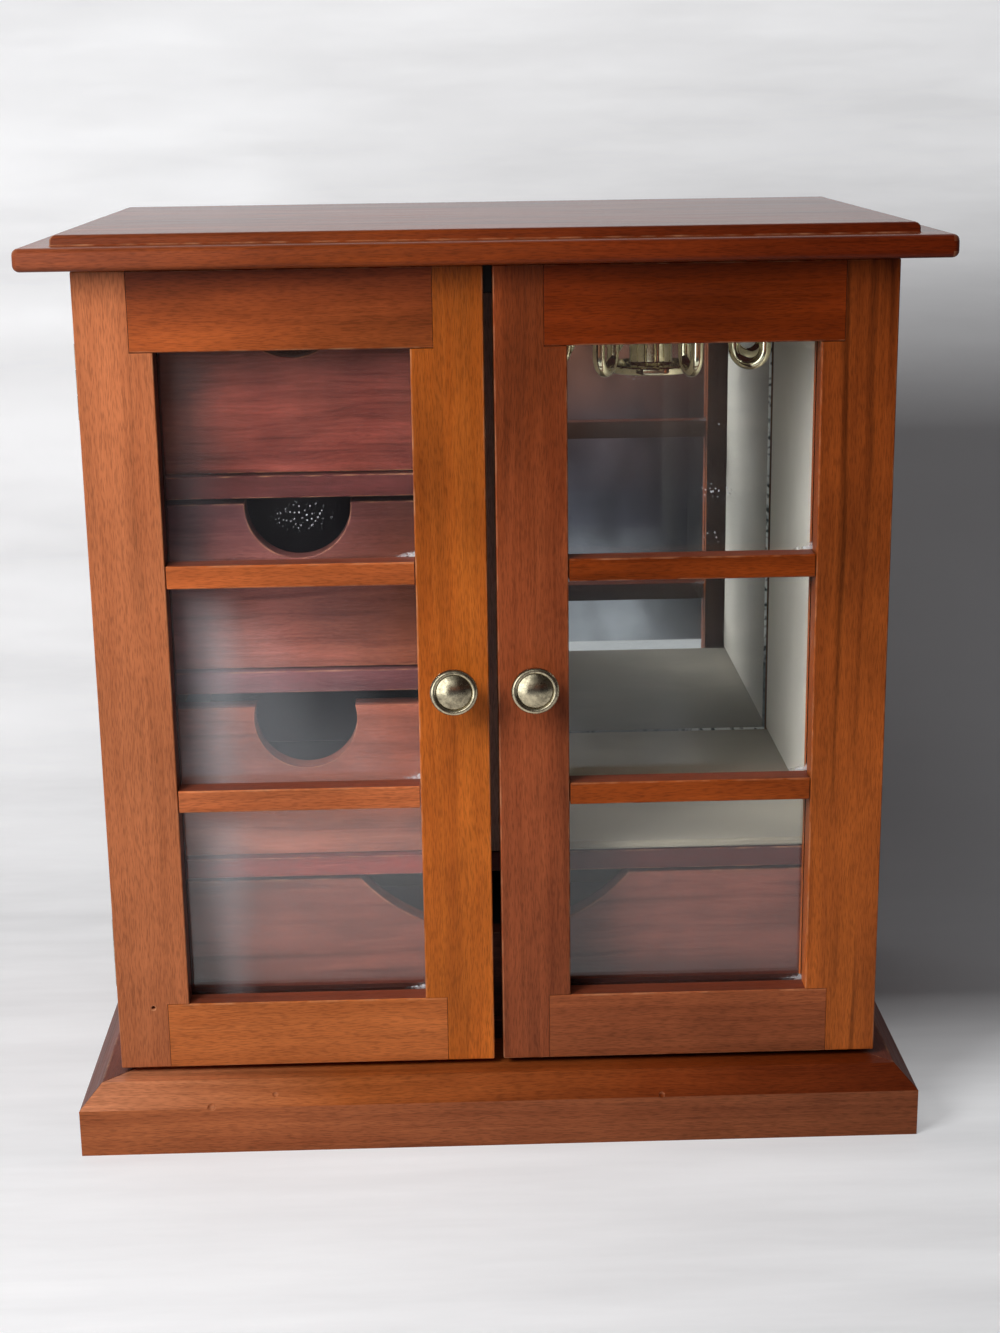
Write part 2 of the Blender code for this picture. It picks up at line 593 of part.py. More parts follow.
def make_drawer(name, x_limits, z_limits, scoop_radius, scoop_depth):
    """One drawer: a front with a finger scoop, two sides, a back and a nailed-on bottom."""
    left, right = x_limits
    low, high = z_limits
    middle = (left + right) / 2
    axis = axis_marker(f"{name}_slide", (middle, DRAWER_FRONT_Y, low))
    front_back = DRAWER_FRONT_Y + DRAWER_FRONT_THICKNESS
    front = board(f"{name}_front", x_limits, (DRAWER_FRONT_Y, front_back), z_limits, DRAWER_WOOD, axis)
    scoop = level_cutter(
        f"{name}_scoop",
        scoop_radius,
        middle,
        (DRAWER_FRONT_Y - CUT_MARGIN, front_back + CUT_MARGIN),
        high - scoop_depth + scoop_radius,
        SCOOP_STEPS,
    )
    cut(front, scoop)

    box_left = left + DRAWER_BOX_INSET
    box_right = right - DRAWER_BOX_INSET
    box_front = front_back + JOINT_GAP
    bottom_top = low + DRAWER_BOTTOM_THICKNESS
    board(
        f"{name}_bottom",
        (box_left, box_right),
        (box_front, DRAWER_REAR_Y),
        (low, bottom_top),
        INNER_BOARD,
        axis,
    )
    wall_height = (bottom_top + JOINT_GAP, high - DRAWER_BOX_DROP)
    wall = DRAWER_BOARD_THICKNESS
    for label, limits in (
        ("left", (box_left, box_left + wall)),
        ("right", (box_right - wall, box_right)),
    ):
        board(f"{name}_{label}_side", limits, (box_front, DRAWER_REAR_Y), wall_height, INNER_BOARD, axis)
    board(
        f"{name}_back",
        (box_left + wall + JOINT_GAP, box_right - wall - JOINT_GAP),
        (DRAWER_REAR_Y - wall, DRAWER_REAR_Y),
        wall_height,
        INNER_BOARD,
        axis,
    )


def make_drawers():
    """Three small drawers on the left, and the wide one under the shelf."""
    small_x = (-INNER_HALF + DRAWER_SIDE_GAP, PARTITION_LEFT - DRAWER_SIDE_GAP)
    bay_step = SMALL_BAY_HEIGHT + DIVIDER_THICKNESS
    small_drawers = (
        ("lower_drawer", LOWER_DRAWER_HEAD_GAP, LOWER_SCOOP_DEPTH),
        ("middle_drawer", DRAWER_HEAD_GAP, SMALL_SCOOP_DEPTH),
        ("top_drawer", DRAWER_HEAD_GAP, SMALL_SCOOP_DEPTH),
    )
    for index, (name, head_gap, scoop_depth) in enumerate(small_drawers):
        bay_bottom = SHELF_TOP + index * bay_step
        z_limits = (bay_bottom + DRAWER_RUNNING_GAP, bay_bottom + SMALL_BAY_HEIGHT - head_gap)
        make_drawer(name, small_x, z_limits, SMALL_SCOOP_RADIUS, scoop_depth)
    wide_half = INNER_HALF - DRAWER_SIDE_GAP
    half_chord = WIDE_SCOOP_WIDTH / 2
    wide_radius = (half_chord**2 + WIDE_SCOOP_DEPTH**2) / (2 * WIDE_SCOOP_DEPTH)
    z_limits = (WIDE_BAY_BOTTOM + DRAWER_RUNNING_GAP, SHELF_BOTTOM - DRAWER_HEAD_GAP)
    make_drawer("wide_drawer", (-wide_half, wide_half), z_limits, wide_radius, WIDE_SCOOP_DEPTH)


def hook_path(arm_height, bend_height, hook_radius):
    """The middle line of one J-shaped hook, as (radius, height) points from the hub to the tip."""
    bend = HOOK_BEND_RADIUS
    shoulder = (hook_radius - 2 * bend, arm_height - bend)
    bowl = (hook_radius, bend_height)
    path = [(HUB_RADIUS / 2, arm_height)]
    path += arc(shoulder, bend, math.pi / 2, 0.0)
    path += arc(bowl, bend, math.pi, 2 * math.pi)
    path += [(hook_radius + bend, bend_height + HOOK_TIP_HEIGHT)]
    return path


def rod_mesh(name, path, radius):
    """A round rod along a bent line in the XY plane, closed at both ends."""
    shape = bmesh.new()
    rings = []
    for index, point in enumerate(path):
        before = Vector(path[max(index - 1, 0)])
        after = Vector(path[min(index + 1, len(path) - 1)])
        ahead = (after - before).normalized()
        side = Vector((-ahead.y, ahead.x))
        ring = []
        for step in range(ROD_STEPS):
            turn = 2 * math.pi * step / ROD_STEPS
            across = Vector(point) + radius * math.cos(turn) * side
            ring.append(shape.verts.new((across.x, across.y, radius * math.sin(turn))))
        rings.append(ring)
    for first, second in zip(rings, rings[1:]):
        for step in range(ROD_STEPS):
            following = (step + 1) % ROD_STEPS
            shape.faces.new((first[step], first[following], second[following], second[step]))
    shape.faces.new(rings[0])
    shape.faces.new(rings[-1])
    bmesh.ops.recalc_face_normals(shape, faces=shape.faces)
    mesh = bpy.data.meshes.new(name)
    shape.to_mesh(mesh)
    shape.free()
    return mesh


def make_carousel():
    """The plated hook wheel, and the shouldered screw that it turns on."""
    hub_top = CEILING_BOTTOM - CAROUSEL_RUNNING_GAP
    hub_bottom = hub_top - HUB_HEIGHT
    foot_bottom = CEILING_BOTTOM - CAROUSEL_DROP
    foot_top = foot_bottom + FOOT_THICKNESS
    seat = foot_top + SPINDLE_HEAD_THICKNESS
    head_room = SPINDLE_HEAD_RADIUS + JOINT_GAP
    bore = SPINDLE_RADIUS + JOINT_GAP
    rounding = FOOT_THICKNESS / 4
    outline = [
        (bore, hub_top),
        (HUB_RADIUS, hub_top),
        (HUB_RADIUS, hub_bottom),
        (POST_RADIUS, hub_bottom - HUB_HEIGHT / 2),
        (POST_RADIUS, foot_top),
        (FOOT_RADIUS - rounding, foot_top),
        (FOOT_RADIUS, foot_top - rounding),
        (FOOT_RADIUS, foot_bottom + rounding),
        (FOOT_RADIUS - rounding, foot_bottom),
        (head_room, foot_bottom),
        (head_room, seat),
        (bore, seat),
    ]
    axis = axis_marker("carousel_axis", (CAROUSEL_X, CAROUSEL_Y, hub_top))
    place = (CAROUSEL_X, CAROUSEL_Y, 0.0)
    name = "carousel_hook_wheel"
    wheel = add_part(name, turned_mesh(name, outline, closed=True), place, PLATED_BRASS, axis)
    lathe_turn(wheel)

    tip_radius = (LINING_RIGHT - LINING_LEFT) / 2 - LINING_THICKNESS - HOOK_WALL_CLEARANCE
    hook_radius = tip_radius - HOOK_BEND_RADIUS - HOOK_ROD_RADIUS
    arm_height = hub_top - HUB_HEIGHT / 2
    hook_bottom = foot_top - HOOK_BELOW_FOOT_TOP
    bend_height = hook_bottom + HOOK_BEND_RADIUS + HOOK_ROD_RADIUS
    hook_rod = rod_mesh("hook_rod", hook_path(arm_height, bend_height, hook_radius), HOOK_ROD_RADIUS)
    hook_step = 2 * math.pi / HOOK_COUNT
    for index in range(HOOK_COUNT):
        hook = add_cutter(f"hook_{index + 1}", hook_rod, place)
        hook.rotation_euler = (math.pi / 2, 0.0, (index + 0.5) * hook_step + math.radians(CAROUSEL_REST_TURN))
        join(wheel, hook)

    head_top = seat - JOINT_GAP
    head_bottom = head_top - SPINDLE_HEAD_THICKNESS
    screw_top = CEILING_BOTTOM + SPINDLE_GRIP
    screw_outline = [
        (0.0, screw_top),
        (SPINDLE_RADIUS, screw_top),
        (SPINDLE_RADIUS, head_top),
        (SPINDLE_HEAD_RADIUS, head_top),
        (SPINDLE_HEAD_RADIUS, head_bottom),
        (0.0, head_bottom),
    ]
    name = "carousel_spindle"
    lathe_turn(add_part(name, turned_mesh(name, screw_outline, closed=False), place, AGED_BRASS))


make_plinth()
make_case()
make_mirror_and_lining()
make_catch()
make_top_board()
make_carousel()
for door_label, door_side in (("left", -1), ("right", 1)):
    hinge_axis = axis_marker(f"{door_label}_door_hinge_axis", (door_side * PIN_X, PIN_Y, DOOR_BOTTOM))
    make_door(door_label, door_side, hinge_axis)
    make_hinge(door_label, door_side, "upper", DOOR_TOP - HINGE_INSET, hinge_axis)
    make_hinge(door_label, door_side, "lower", DOOR_BOTTOM + HINGE_INSET, hinge_axis)
make_drawers()
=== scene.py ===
import itertools
import math

import bmesh
import bpy
from mathutils import Matrix, Vector


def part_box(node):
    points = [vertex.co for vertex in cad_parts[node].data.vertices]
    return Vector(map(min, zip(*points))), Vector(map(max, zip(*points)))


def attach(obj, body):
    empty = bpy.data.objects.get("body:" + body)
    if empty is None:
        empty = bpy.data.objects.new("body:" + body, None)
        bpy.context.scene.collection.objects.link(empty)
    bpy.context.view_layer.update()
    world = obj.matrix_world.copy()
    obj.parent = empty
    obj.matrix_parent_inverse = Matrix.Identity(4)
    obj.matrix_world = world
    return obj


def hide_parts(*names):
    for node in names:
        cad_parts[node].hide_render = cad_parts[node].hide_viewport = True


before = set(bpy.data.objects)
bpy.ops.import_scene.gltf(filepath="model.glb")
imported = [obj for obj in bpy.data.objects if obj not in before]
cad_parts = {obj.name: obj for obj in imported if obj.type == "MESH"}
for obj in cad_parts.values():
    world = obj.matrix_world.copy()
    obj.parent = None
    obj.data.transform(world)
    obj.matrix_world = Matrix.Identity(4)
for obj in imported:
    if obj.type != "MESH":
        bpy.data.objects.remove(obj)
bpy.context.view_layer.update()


# Base plinth: four stained cherry rails glued round an open middle. The front one is mitred to the
# two sides, their upper edge is planed to a chamfer, and knocks have left small dents along it.
CHAMFER = 0.0069
RAIL_WIDTH = 0.036
BACK_RAIL_WIDTH = 0.018
PLINTH_ROUND = 0.0005
PLINTH_DENTS = ((-0.0945, 0.0166, 0.0016), (-0.0738, 0.0192, 0.0011), (0.053, 0.0168, 0.0012))
DENT_OUTSIDE = 0.6
SAME_PLACE = 1e-5


def deselect():
    bpy.ops.object.select_all(action="DESELECT")


def select_only(piece):
    deselect()
    piece.select_set(True)
    bpy.context.view_layer.objects.active = piece


def added(name):
    """Names the primitive added last, and puts its place, turn and size in its mesh."""
    piece = bpy.context.object
    piece.name = piece.data.name = name
    bpy.ops.object.transform_apply(location=True, rotation=True, scale=True)
    return piece


def block(name, corner, opposite):
    """A sawn blank between two opposite corners."""
    deselect()
    middle = [(a + b) / 2 for a, b in zip(corner, opposite)]
    bpy.ops.mesh.primitive_cube_add(size=1, location=middle)
    bpy.context.object.scale = [abs(b - a) for a, b in zip(corner, opposite)]
    return added(name)


def choose(piece, kind="FACE", test=lambda item: True):
    """Opens one piece for editing, with only the edges or faces that pass a test selected."""
    select_only(piece)
    bpy.ops.object.mode_set(mode="EDIT")
    bpy.ops.mesh.select_mode(type=kind)
    bpy.ops.mesh.select_all(action="DESELECT")
    shape = bmesh.from_edit_mesh(piece.data)
    shape.normal_update()
    for item in list(shape.edges if kind == "EDGE" else shape.faces):
        if test(item):
            item.select_set(True)
    bmesh.update_edit_mesh(piece.data)


def close_edit():
    bpy.ops.object.mode_set(mode="OBJECT")


def along(edge, **limits):
    """True if both ends of an edge lie at the given x, y or z."""
    gaps = [abs(getattr(v.co, axis) - at) for v in edge.verts for axis, at in limits.items()]
    return max(gaps) < SAME_PLACE


def facing(direction, share=0.9):
    """A test for faces that look in a direction."""
    return lambda face: face.normal.dot(Vector(direction)) > share


def bevel(piece, test, width, segments=1):
    """Planes the edges that pass a test to a chamfer, or to a round of several segments."""
    choose(piece, "EDGE", test)
    bpy.ops.mesh.bevel(offset=width, segments=segments, affect="EDGES")
    close_edit()


def saw(piece, corner, keep):
    """Saws a piece upright through a corner, and keeps the side that the direction points to."""
    choose(piece)
    bpy.ops.mesh.bisect(plane_co=corner, plane_no=keep, use_fill=True, clear_inner=True)
    close_edit()


def apply_modifier(piece, modifier):
    select_only(piece)
    bpy.ops.object.modifier_apply(modifier=modifier.name)


def carve(piece, cutter):
    """Cuts one shape out of a piece and throws the cutter away."""
    cut = piece.modifiers.new("cut", "BOOLEAN")
    cut.operation = "DIFFERENCE"
    cut.object = cutter
    apply_modifier(piece, cut)
    bpy.data.objects.remove(cutter, do_unlink=True)


SHARP = math.radians(28)
GLUED_SHARE = 0.14
MARKED_SHARE = 0.8


def ease(piece, width, segments=3, glued=()):
    """Sands the sharp edges to a small round, finer in glued joints, and marks the rounds that the finish
    pales, as wear and as a painted highlight.
    """
    mesh = piece.data
    shape = bmesh.new()
    shape.from_mesh(mesh)
    weight = shape.edges.layers.float.new("bevel_weight_edge")
    for edge in shape.edges:
        if not edge.is_manifold or edge.calc_face_angle() < SHARP:
            continue
        middle = (edge.verts[0].co + edge.verts[1].co) / 2
        joined = any(all(a <= m <= b for a, m, b in zip(low, middle, high)) for low, high in glued)
        edge[weight] = GLUED_SHARE if joined else 1
    for face in shape.faces:
        face.smooth = True
    shape.to_mesh(mesh)
    shape.free()
    sanded = piece.modifiers.new("sanded_edges", "BEVEL")
    sanded.width = width
    sanded.segments = segments
    sanded.limit_method = "WEIGHT"
    sanded.harden_normals = True
    apply_modifier(piece, sanded)
    mesh.attributes.remove(mesh.attributes["bevel_weight_edge"])
    worn_and_highlit_rounds = mesh.attributes.new("worn_and_highlit_edge", "FLOAT", "FACE")
    for face in mesh.polygons:
        border = sum((mesh.vertices[a].co - mesh.vertices[b].co).length for a, b in face.edge_keys)
        strip = 2 * face.area / border
        worn_and_highlit_rounds.data[face.index].value = 1 if GLUED_SHARE * width < strip < MARKED_SHARE * width else 0


def feed(socket, value):
    """Wires a socket to another, or sets it to a value or an opaque colour."""
    if isinstance(value, bpy.types.NodeSocket):
        socket.id_data.links.new(value, socket)
    else:
        socket.default_value = (*value, 1) if socket.type == "RGBA" else value


def wire(node, *numbered, **named):
    """Feeds a node's inputs, by their order or their names, and gives back its outputs."""
    for socket, value in zip(node.inputs, numbered):
        feed(socket, value)
    for label, value in named.items():
        feed(node.inputs[label.replace("_", " ")], value)
    return node.outputs


def beside(kind, *terms):
    """A new shader node in the tree of the first socket among the terms."""
    home = next(term for term in terms if isinstance(term, bpy.types.NodeSocket))
    return home.id_data.nodes.new(f"ShaderNode{kind}")


def calc(operation, *terms):
    """One step of arithmetic on values and sockets."""
    node = beside("Math", *terms)
    node.operation = operation
    return wire(node, *terms)[0]


def times(first, second):
    return calc("MULTIPLY", first, second)


def turned(place, shift=(0, 0, 0), turn=(0, 0, 0), stretch=(1, 1, 1)):
    """A place after it is stretched, turned and shifted."""
    return wire(beside("Mapping", place), place, shift, turn, stretch)[0]


def measured(place):
    """The X, Y and Z of a place."""
    return wire(beside("SeparateXYZ", place), place)


def cloud(place, scale=1, detail=2, roughness=0.5):
    """A soft random value from 0 to 1."""
    noise = beside("TexNoise", place)
    return wire(noise, Vector=place, Scale=scale, Detail=detail, Roughness=roughness)["Fac"]


def spread(value, low, high, to_low=0, to_high=1):
    """A value taken from one range to another, and held inside it."""
    return wire(beside("MapRange", value), value, low, high, to_low, to_high)[0]


def tint(share, first, second, mode="MIX"):
    """Two colours laid over each other."""
    node = beside("Mix", share, first, second)
    node.data_type = "RGBA"
    node.blend_type = mode
    for index, term in ((0, share), (6, first), (7, second)):
        feed(node.inputs[index], term)
    return node.outputs[2]


def effect(name, inputs, outputs):
    """An empty node group with named sockets, and its two ends."""
    group = bpy.data.node_groups.new(name, "ShaderNodeTree")
    for in_out, sockets in (("INPUT", inputs), ("OUTPUT", outputs)):
        for label, kind in sockets.items():
            group.interface.new_socket(label, in_out=in_out, socket_type=f"NodeSocket{kind}")
    return group, group.nodes.new("NodeGroupInput").outputs, group.nodes.new("NodeGroupOutput")


def place_effect(group, **values):
    """Puts a group in a material, with each input wired or set."""
    node = beside("Group", *values.values())
    node.node_tree = group
    return wire(node, **values)


# The grain runs along the group's own X, in metres
cherry_figure, wood_in, wood_out = effect(
    "cherry_figure",
    {"Place": "Vector", "Pale": "Color", "Deep": "Color"}
    | {"Streaks": "Float", "Flame": "Float", "Mottle": "Float"},
    {"Colour": "Color", "Roughness": "Float", "Height": "Float"},
)
SWAY_REACH = (0, 0.006, 0.006)


def along_grain(place, stretch, shift=(0, 0, 0), detail=2):
    """Noise drawn out along the fibres of the wood."""
    return cloud(turned(place, shift, stretch=stretch), detail=detail)


board_place = wood_in["Place"]
sway = calc("SUBTRACT", along_grain(board_place, (9, 30, 30)), 0.5)
sway = times(sway, wood_in["Flame"])
sideways = beside("VectorMath", sway)
sideways.operation = "MULTIPLY_ADD"
fibre_place = wire(sideways, sway, SWAY_REACH, board_place)[0]
rings = spread(along_grain(fibre_place, (4, 150, 150), detail=3), 0.3, 0.7)
fibre = along_grain(fibre_place, (16, 900, 900))
pores = spread(along_grain(fibre_place, (300, 3400, 3400), detail=1), 0.46, 0.66)
dark_veins = spread(along_grain(fibre_place, (5, 230, 230), (3, 7, 1)), 0.54, 0.7)
dark_veins = times(dark_veins, wood_in["Streaks"])
flecks = spread(along_grain(board_place, (55, 70, 70)), 0.3, 0.7)
light = times(rings, 0.56)
light = calc("MULTIPLY_ADD", spread(fibre, 0.3, 0.7), 0.34, light)
light = calc("MULTIPLY_ADD", flecks, 0.2, light)
wood = tint(light, wood_in["Deep"], wood_in["Pale"])
blotches = spread(along_grain(board_place, (13, 38, 38), (2, 5, 8), 4), 0.3, 0.7, -1, 1)
blotches = calc("MULTIPLY_ADD", blotches, wood_in["Mottle"], 1)
shade = times(calc("MULTIPLY_ADD", dark_veins, -0.6, 1), blotches)
shade = times(shade, spread(pores, 0, 1, 1, 0.7))
wood = tint(1, wood, shade, "MULTIPLY")
sheen = spread(fibre, 0.25, 0.75, 0.3, 0.46)
wire(wood_out, Colour=wood, Roughness=sheen, Height=calc("MULTIPLY_ADD", pores, -0.8, fibre))

# Pale rounds: patches of the marked rounds turn paler, partly as wear and partly as a painted highlight where
# rounded edges catch the light.
rubbed_and_highlit_edges, rounds_in, rounds_out = effect(
    "rubbed_and_highlit_edges",
    {"Place": "Vector", "Colour": "Color", "Edge": "Float", "Wear": "Float"},
    {"Colour": "Color"},
)
patchy = spread(cloud(rounds_in["Place"], 130, 3, 0.6), 0.42, 0.7)
bare_and_highlit = times(times(patchy, rounds_in["Edge"]), rounds_in["Wear"])
pale_wood = tint(0.55, rounds_in["Colour"], (0.8, 0.42, 0.22))
wire(rounds_out, Colour=tint(bare_and_highlit, rounds_in["Colour"], pale_wood))

GRAIN_TURN = {"x": (0, 0, 0), "y": (0, 0, -math.pi / 2), "z": (0, math.pi / 2, 0)}
LOG_STEP = (0.371, 0.233, 0.117)
EDGE_WEAR_AND_HIGHLIGHT = 0.5
boards_sawn = itertools.count(1)


def new_finish(name):
    """A material, with its shader and the place of a point on the piece."""
    finish = bpy.data.materials.new(name)
    finish.use_nodes = True
    surface = finish.node_tree.nodes["Principled BSDF"]
    return finish, surface, beside("TexCoord", surface.outputs[0]).outputs["Object"]


def relief(surface, height, strength, depth):
    """Lets the light catch a height too small to be modelled."""
    bump = wire(beside("Bump", height), Height=height, Strength=strength, Distance=depth)
    wire(surface, Normal=bump["Normal"])


def cherry(
    name, grain, pale, deep, streaks=0.35, gloss=0.05, flame=1, mottle=0.25, fine=1, painted_light=(), cut=0
):
    """Stained cherry under satin lacquer, each board from another spot of the log, or a numbered cut, with
    painted light and shade multiplied in along an axis.
    """
    finish, surface, place = new_finish(name)
    sawn = cut or next(boards_sawn)
    log_spot = [step * sawn for step in LOG_STEP]
    log_place = turned(place, log_spot, GRAIN_TURN[grain], (fine, fine, fine))
    traits = {"Pale": pale, "Deep": deep, "Streaks": streaks, "Flame": flame, "Mottle": mottle}
    figure = place_effect(cherry_figure, Place=log_place, **traits)
    colour = figure["Colour"]
    # Painted light and shade: each gradient along X, Y or Z multiplies the colour
    for axis, start, end, start_tone, end_tone in painted_light:
        painted = tint(spread(measured(place)[axis], start, end), start_tone, end_tone)
        colour = tint(1, colour, painted, "MULTIPLY")
    edge = beside("Attribute", place)
    edge.attribute_name = "worn_and_highlit_edge"
    worn_and_highlit_rounds = edge.outputs["Fac"]
    rubbed_and_highlit = place_effect(rubbed_and_highlit_edges, Place=place, Colour=colour, Edge=worn_and_highlit_rounds, Wear=EDGE_WEAR_AND_HIGHLIGHT)
    wire(surface, Base_Color=rubbed_and_highlit["Colour"], Roughness=figure["Roughness"], Specular_IOR_Level=0.1)
    wire(surface, Coat_Weight=gloss, Coat_Roughness=0.2)
    relief(surface, figure["Height"], 0.12, 0.0004)
    return finish


def settle(piece, body, slot, finish, *nodes):
    """Gives a finished piece its surface and the body it moves with, and hides the nodes it stands for."""
    piece.data.materials.clear()
    piece.data.materials.append(finish)
    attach(piece, body)
    if nodes:
        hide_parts(*nodes)


def recoat(piece, finish, test):
    """Gives the faces that pass a test a second finish."""
    piece.data.materials.append(finish)
    for face in piece.data.polygons:
        if test(face):
            face.material_index = 1


UP = (0, 0, 1)
UNPAINTED = (1, 1, 1)
WARM_TONES = ((0.38, 0.115, 0.04), (0.2, 0.05, 0.016))
PLUM_TONES = ((0.19, 0.044, 0.022), (0.105, 0.023, 0.012))
# Painted light: the front rail is paler towards its left end, where the window light falls, and its chamfer
# and top are paler and bluer at the left and darker towards the right.
FRONT_PAINTED_LIGHT = [("X", -0.14, 0, (1.5, 1.5, 1.5), (1.02, 1, 1.08))]
CHAMFER_PAINTED_LIGHT = [
    ("X", -0.14, -0.05, (1.5, 2.2, 4.8), UNPAINTED),
    ("X", -0.05, 0.05, (1.32, 1.18, 0.76), (0.62, 0.4, 0.22)),
    ("X", 0.05, 0.14, UNPAINTED, (0.72, 0.58, 0.56)),
]
low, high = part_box("base_plinth")

front_rail = block("plinth_front_rail", low, (high.x, low.y + RAIL_WIDTH, high.z))
bevel(front_rail, lambda edge: along(edge, y=low.y, z=high.z), CHAMFER)
saw(front_rail, (low.x, low.y, 0), (1, -1, 0))
saw(front_rail, (high.x, low.y, 0), (-1, -1, 0))
for dent_x, dent_z, dent_radius in PLINTH_DENTS:
    dent_y = low.y + max(0, dent_z - (high.z - CHAMFER)) - dent_radius * DENT_OUTSIDE
    dent = (dent_x, dent_y, dent_z)
    deselect()
    bpy.ops.mesh.primitive_uv_sphere_add(segments=16, ring_count=10, radius=dent_radius, location=dent)
    carve(front_rail, bpy.context.object)
ease(front_rail, PLINTH_ROUND)
front_finish = cherry("plinth_front_cherry", "x", *WARM_TONES, mottle=0.18, painted_light=FRONT_PAINTED_LIGHT)
settle(front_rail, "cabinet", "frame_wood", front_finish, "base_plinth")
chamfer_finish = cherry("plinth_chamfer_cherry", "x", *WARM_TONES, painted_light=CHAMFER_PAINTED_LIGHT)
recoat(front_rail, chamfer_finish, facing(UP, 0.3))

for label, outer_x, inward in (("left", low.x, 1), ("right", high.x, -1)):
    inner_corner = (outer_x + inward * RAIL_WIDTH, high.y, high.z)
    side_rail = block(f"plinth_{label}_rail", (outer_x, low.y, low.z), inner_corner)
    bevel(side_rail, lambda edge: along(edge, x=outer_x, z=high.z), CHAMFER)
    saw(side_rail, (outer_x, low.y, 0), (-inward, 1, 0))
    ease(side_rail, PLINTH_ROUND)
    side_finish = cherry(f"plinth_{label}_cherry", "y", *PLUM_TONES)
    settle(side_rail, "cabinet", "frame_wood", side_finish, "base_plinth")

inner_corner = (low.x + RAIL_WIDTH, high.y - BACK_RAIL_WIDTH, low.z)
back_rail = block("plinth_back_rail", inner_corner, (high.x - RAIL_WIDTH, high.y, high.z))
ease(back_rail, PLINTH_ROUND)
back_finish = cherry("plinth_back_cherry", "x", *PLUM_TONES)
settle(back_rail, "cabinet", "frame_wood", back_finish, "base_plinth")


# Case boards: the sides, floor, shelf, dividers, partition and ceiling are solid cherry, planed
# flat, glued and pinned. They are stained a redder brown than the doors and have a duller lacquer.
BOARD_ROUND = 0.0004
FRONT = (0, -1, 0)
RED_TONES = ((0.115, 0.028, 0.026), (0.056, 0.014, 0.013))
SIDE_TONES = ((0.4, 0.125, 0.048), (0.2, 0.052, 0.019))
LIT_EDGE_TONES = ((0.62, 0.36, 0.28), (0.5, 0.29, 0.22))
# Painted light: the lower shelf and the lower divider are paler towards the left, where the window light
# falls.
CASE_PAINTED_LIGHT = {
    "lower_shelf": [("X", -0.014, 0.006, (2.4, 1.7, 1.4), UNPAINTED)],
    "lower_drawer_divider": [("X", -0.08, -0.025, (2.1, 3.2, 3.6), (1.5, 2.1, 2.4))],
}

for node, grain, tones in (
    ("left_side_panel", "z", SIDE_TONES),
    ("right_side_panel", "z", SIDE_TONES),
    ("bottom_board", "x", RED_TONES),
    ("lower_shelf", "x", RED_TONES),
    ("upper_drawer_divider", "x", RED_TONES),
    ("lower_drawer_divider", "x", RED_TONES),
    ("centre_partition", "z", RED_TONES),
    ("ceiling_board", "x", RED_TONES),
):
    board = block(f"{node}_planed", *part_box(node))
    ease(board, BOARD_ROUND)
    board_finish = cherry(f"{node}_cherry", grain, *tones, painted_light=CASE_PAINTED_LIGHT.get(node, ()))
    settle(board, "cabinet", "case_wood", board_finish, node)
    if node == "centre_partition":
        # The partition's front edge is painted far paler than the boards: painted light, so that it shows in
        # the shaded gap between the doors.
        recoat(board, cherry("painted_lit_edge_cherry", grain, *LIT_EDGE_TONES), facing(FRONT))


# Back panel: a sheet of brown hardboard let in flush between the sides and held by small steel
# pins, smooth on the outside, with the specks of its pressed fibres.
PIN_RADIUS = 0.0011
PIN_HOLE_RADIUS = 1.1 * PIN_RADIUS
PIN_DEPTH = 0.0006
PIN_SUNK = 0.0002
PIN_INSET = 0.006
PIN_ROUND = 0.0002
PINS_DOWN = 5
PINS_ACROSS = 4
FIBRE_TONES = ((0.12, 0.055, 0.028), (0.235, 0.115, 0.058))


def disc(name, centre, radius, depth, axis, sides=24):
    """A round plug or cutter about a middle point, along the Y or Z axis."""
    tip = {"y": (math.pi / 2, 0, 0), "z": (0, 0, 0)}[axis]
    size = {"vertices": sides, "radius": radius, "depth": depth}
    deselect()
    bpy.ops.mesh.primitive_cylinder_add(**size, location=centre, rotation=tip)
    return added(name)


def weld(name, pieces):
    """Joins pieces of one material into one object."""
    select_only(pieces[0])
    for piece in pieces[1:]:
        piece.select_set(True)
    bpy.ops.object.join()
    pieces[0].name = pieces[0].data.name = name
    return pieces[0]


def metal(name, bright, dull, roughness, speckle):
    """Bare or plated metal: bright where it is rubbed, with darker specks of tarnish."""
    finish, surface, place = new_finish(name)
    specks = spread(cloud(place, 900, 4, 0.7), 0.42, 0.66)
    patches = spread(cloud(place, 260, 3, 0.6), 0.4, 0.72)
    tarnish = times(calc("MULTIPLY_ADD", specks, 0.6, patches), speckle)
    worn_dull = calc("MULTIPLY_ADD", tarnish, 0.3, roughness)
    wire(surface, Base_Color=tint(tarnish, bright, dull), Roughness=worn_dull, Metallic=1)
    relief(surface, specks, 0.1 * speckle, 0.0002)
    return finish


low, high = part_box("back_panel")
back = block("back_panel_sheet", low, high)
pin_places = set()
for step in range(PINS_DOWN):
    pin_z = low.z + PIN_INSET + (high.z - low.z - 2 * PIN_INSET) * step / (PINS_DOWN - 1)
    pin_places |= {(low.x + PIN_INSET, pin_z), (high.x - PIN_INSET, pin_z)}
for step in range(1, PINS_ACROSS):
    pin_x = low.x + PIN_INSET + (high.x - low.x - 2 * PIN_INSET) * step / PINS_ACROSS
    pin_places |= {(pin_x, low.z + PIN_INSET), (pin_x, high.z - PIN_INSET)}
pins = []
for pin_x, pin_z in sorted(pin_places):
    carve(back, disc("pin_hole", (pin_x, high.y, pin_z), PIN_HOLE_RADIUS, 2 * PIN_DEPTH, "y"))
    pins.append(disc("pin", (pin_x, high.y - PIN_SUNK - PIN_DEPTH / 2, pin_z), PIN_RADIUS, PIN_DEPTH, "y"))
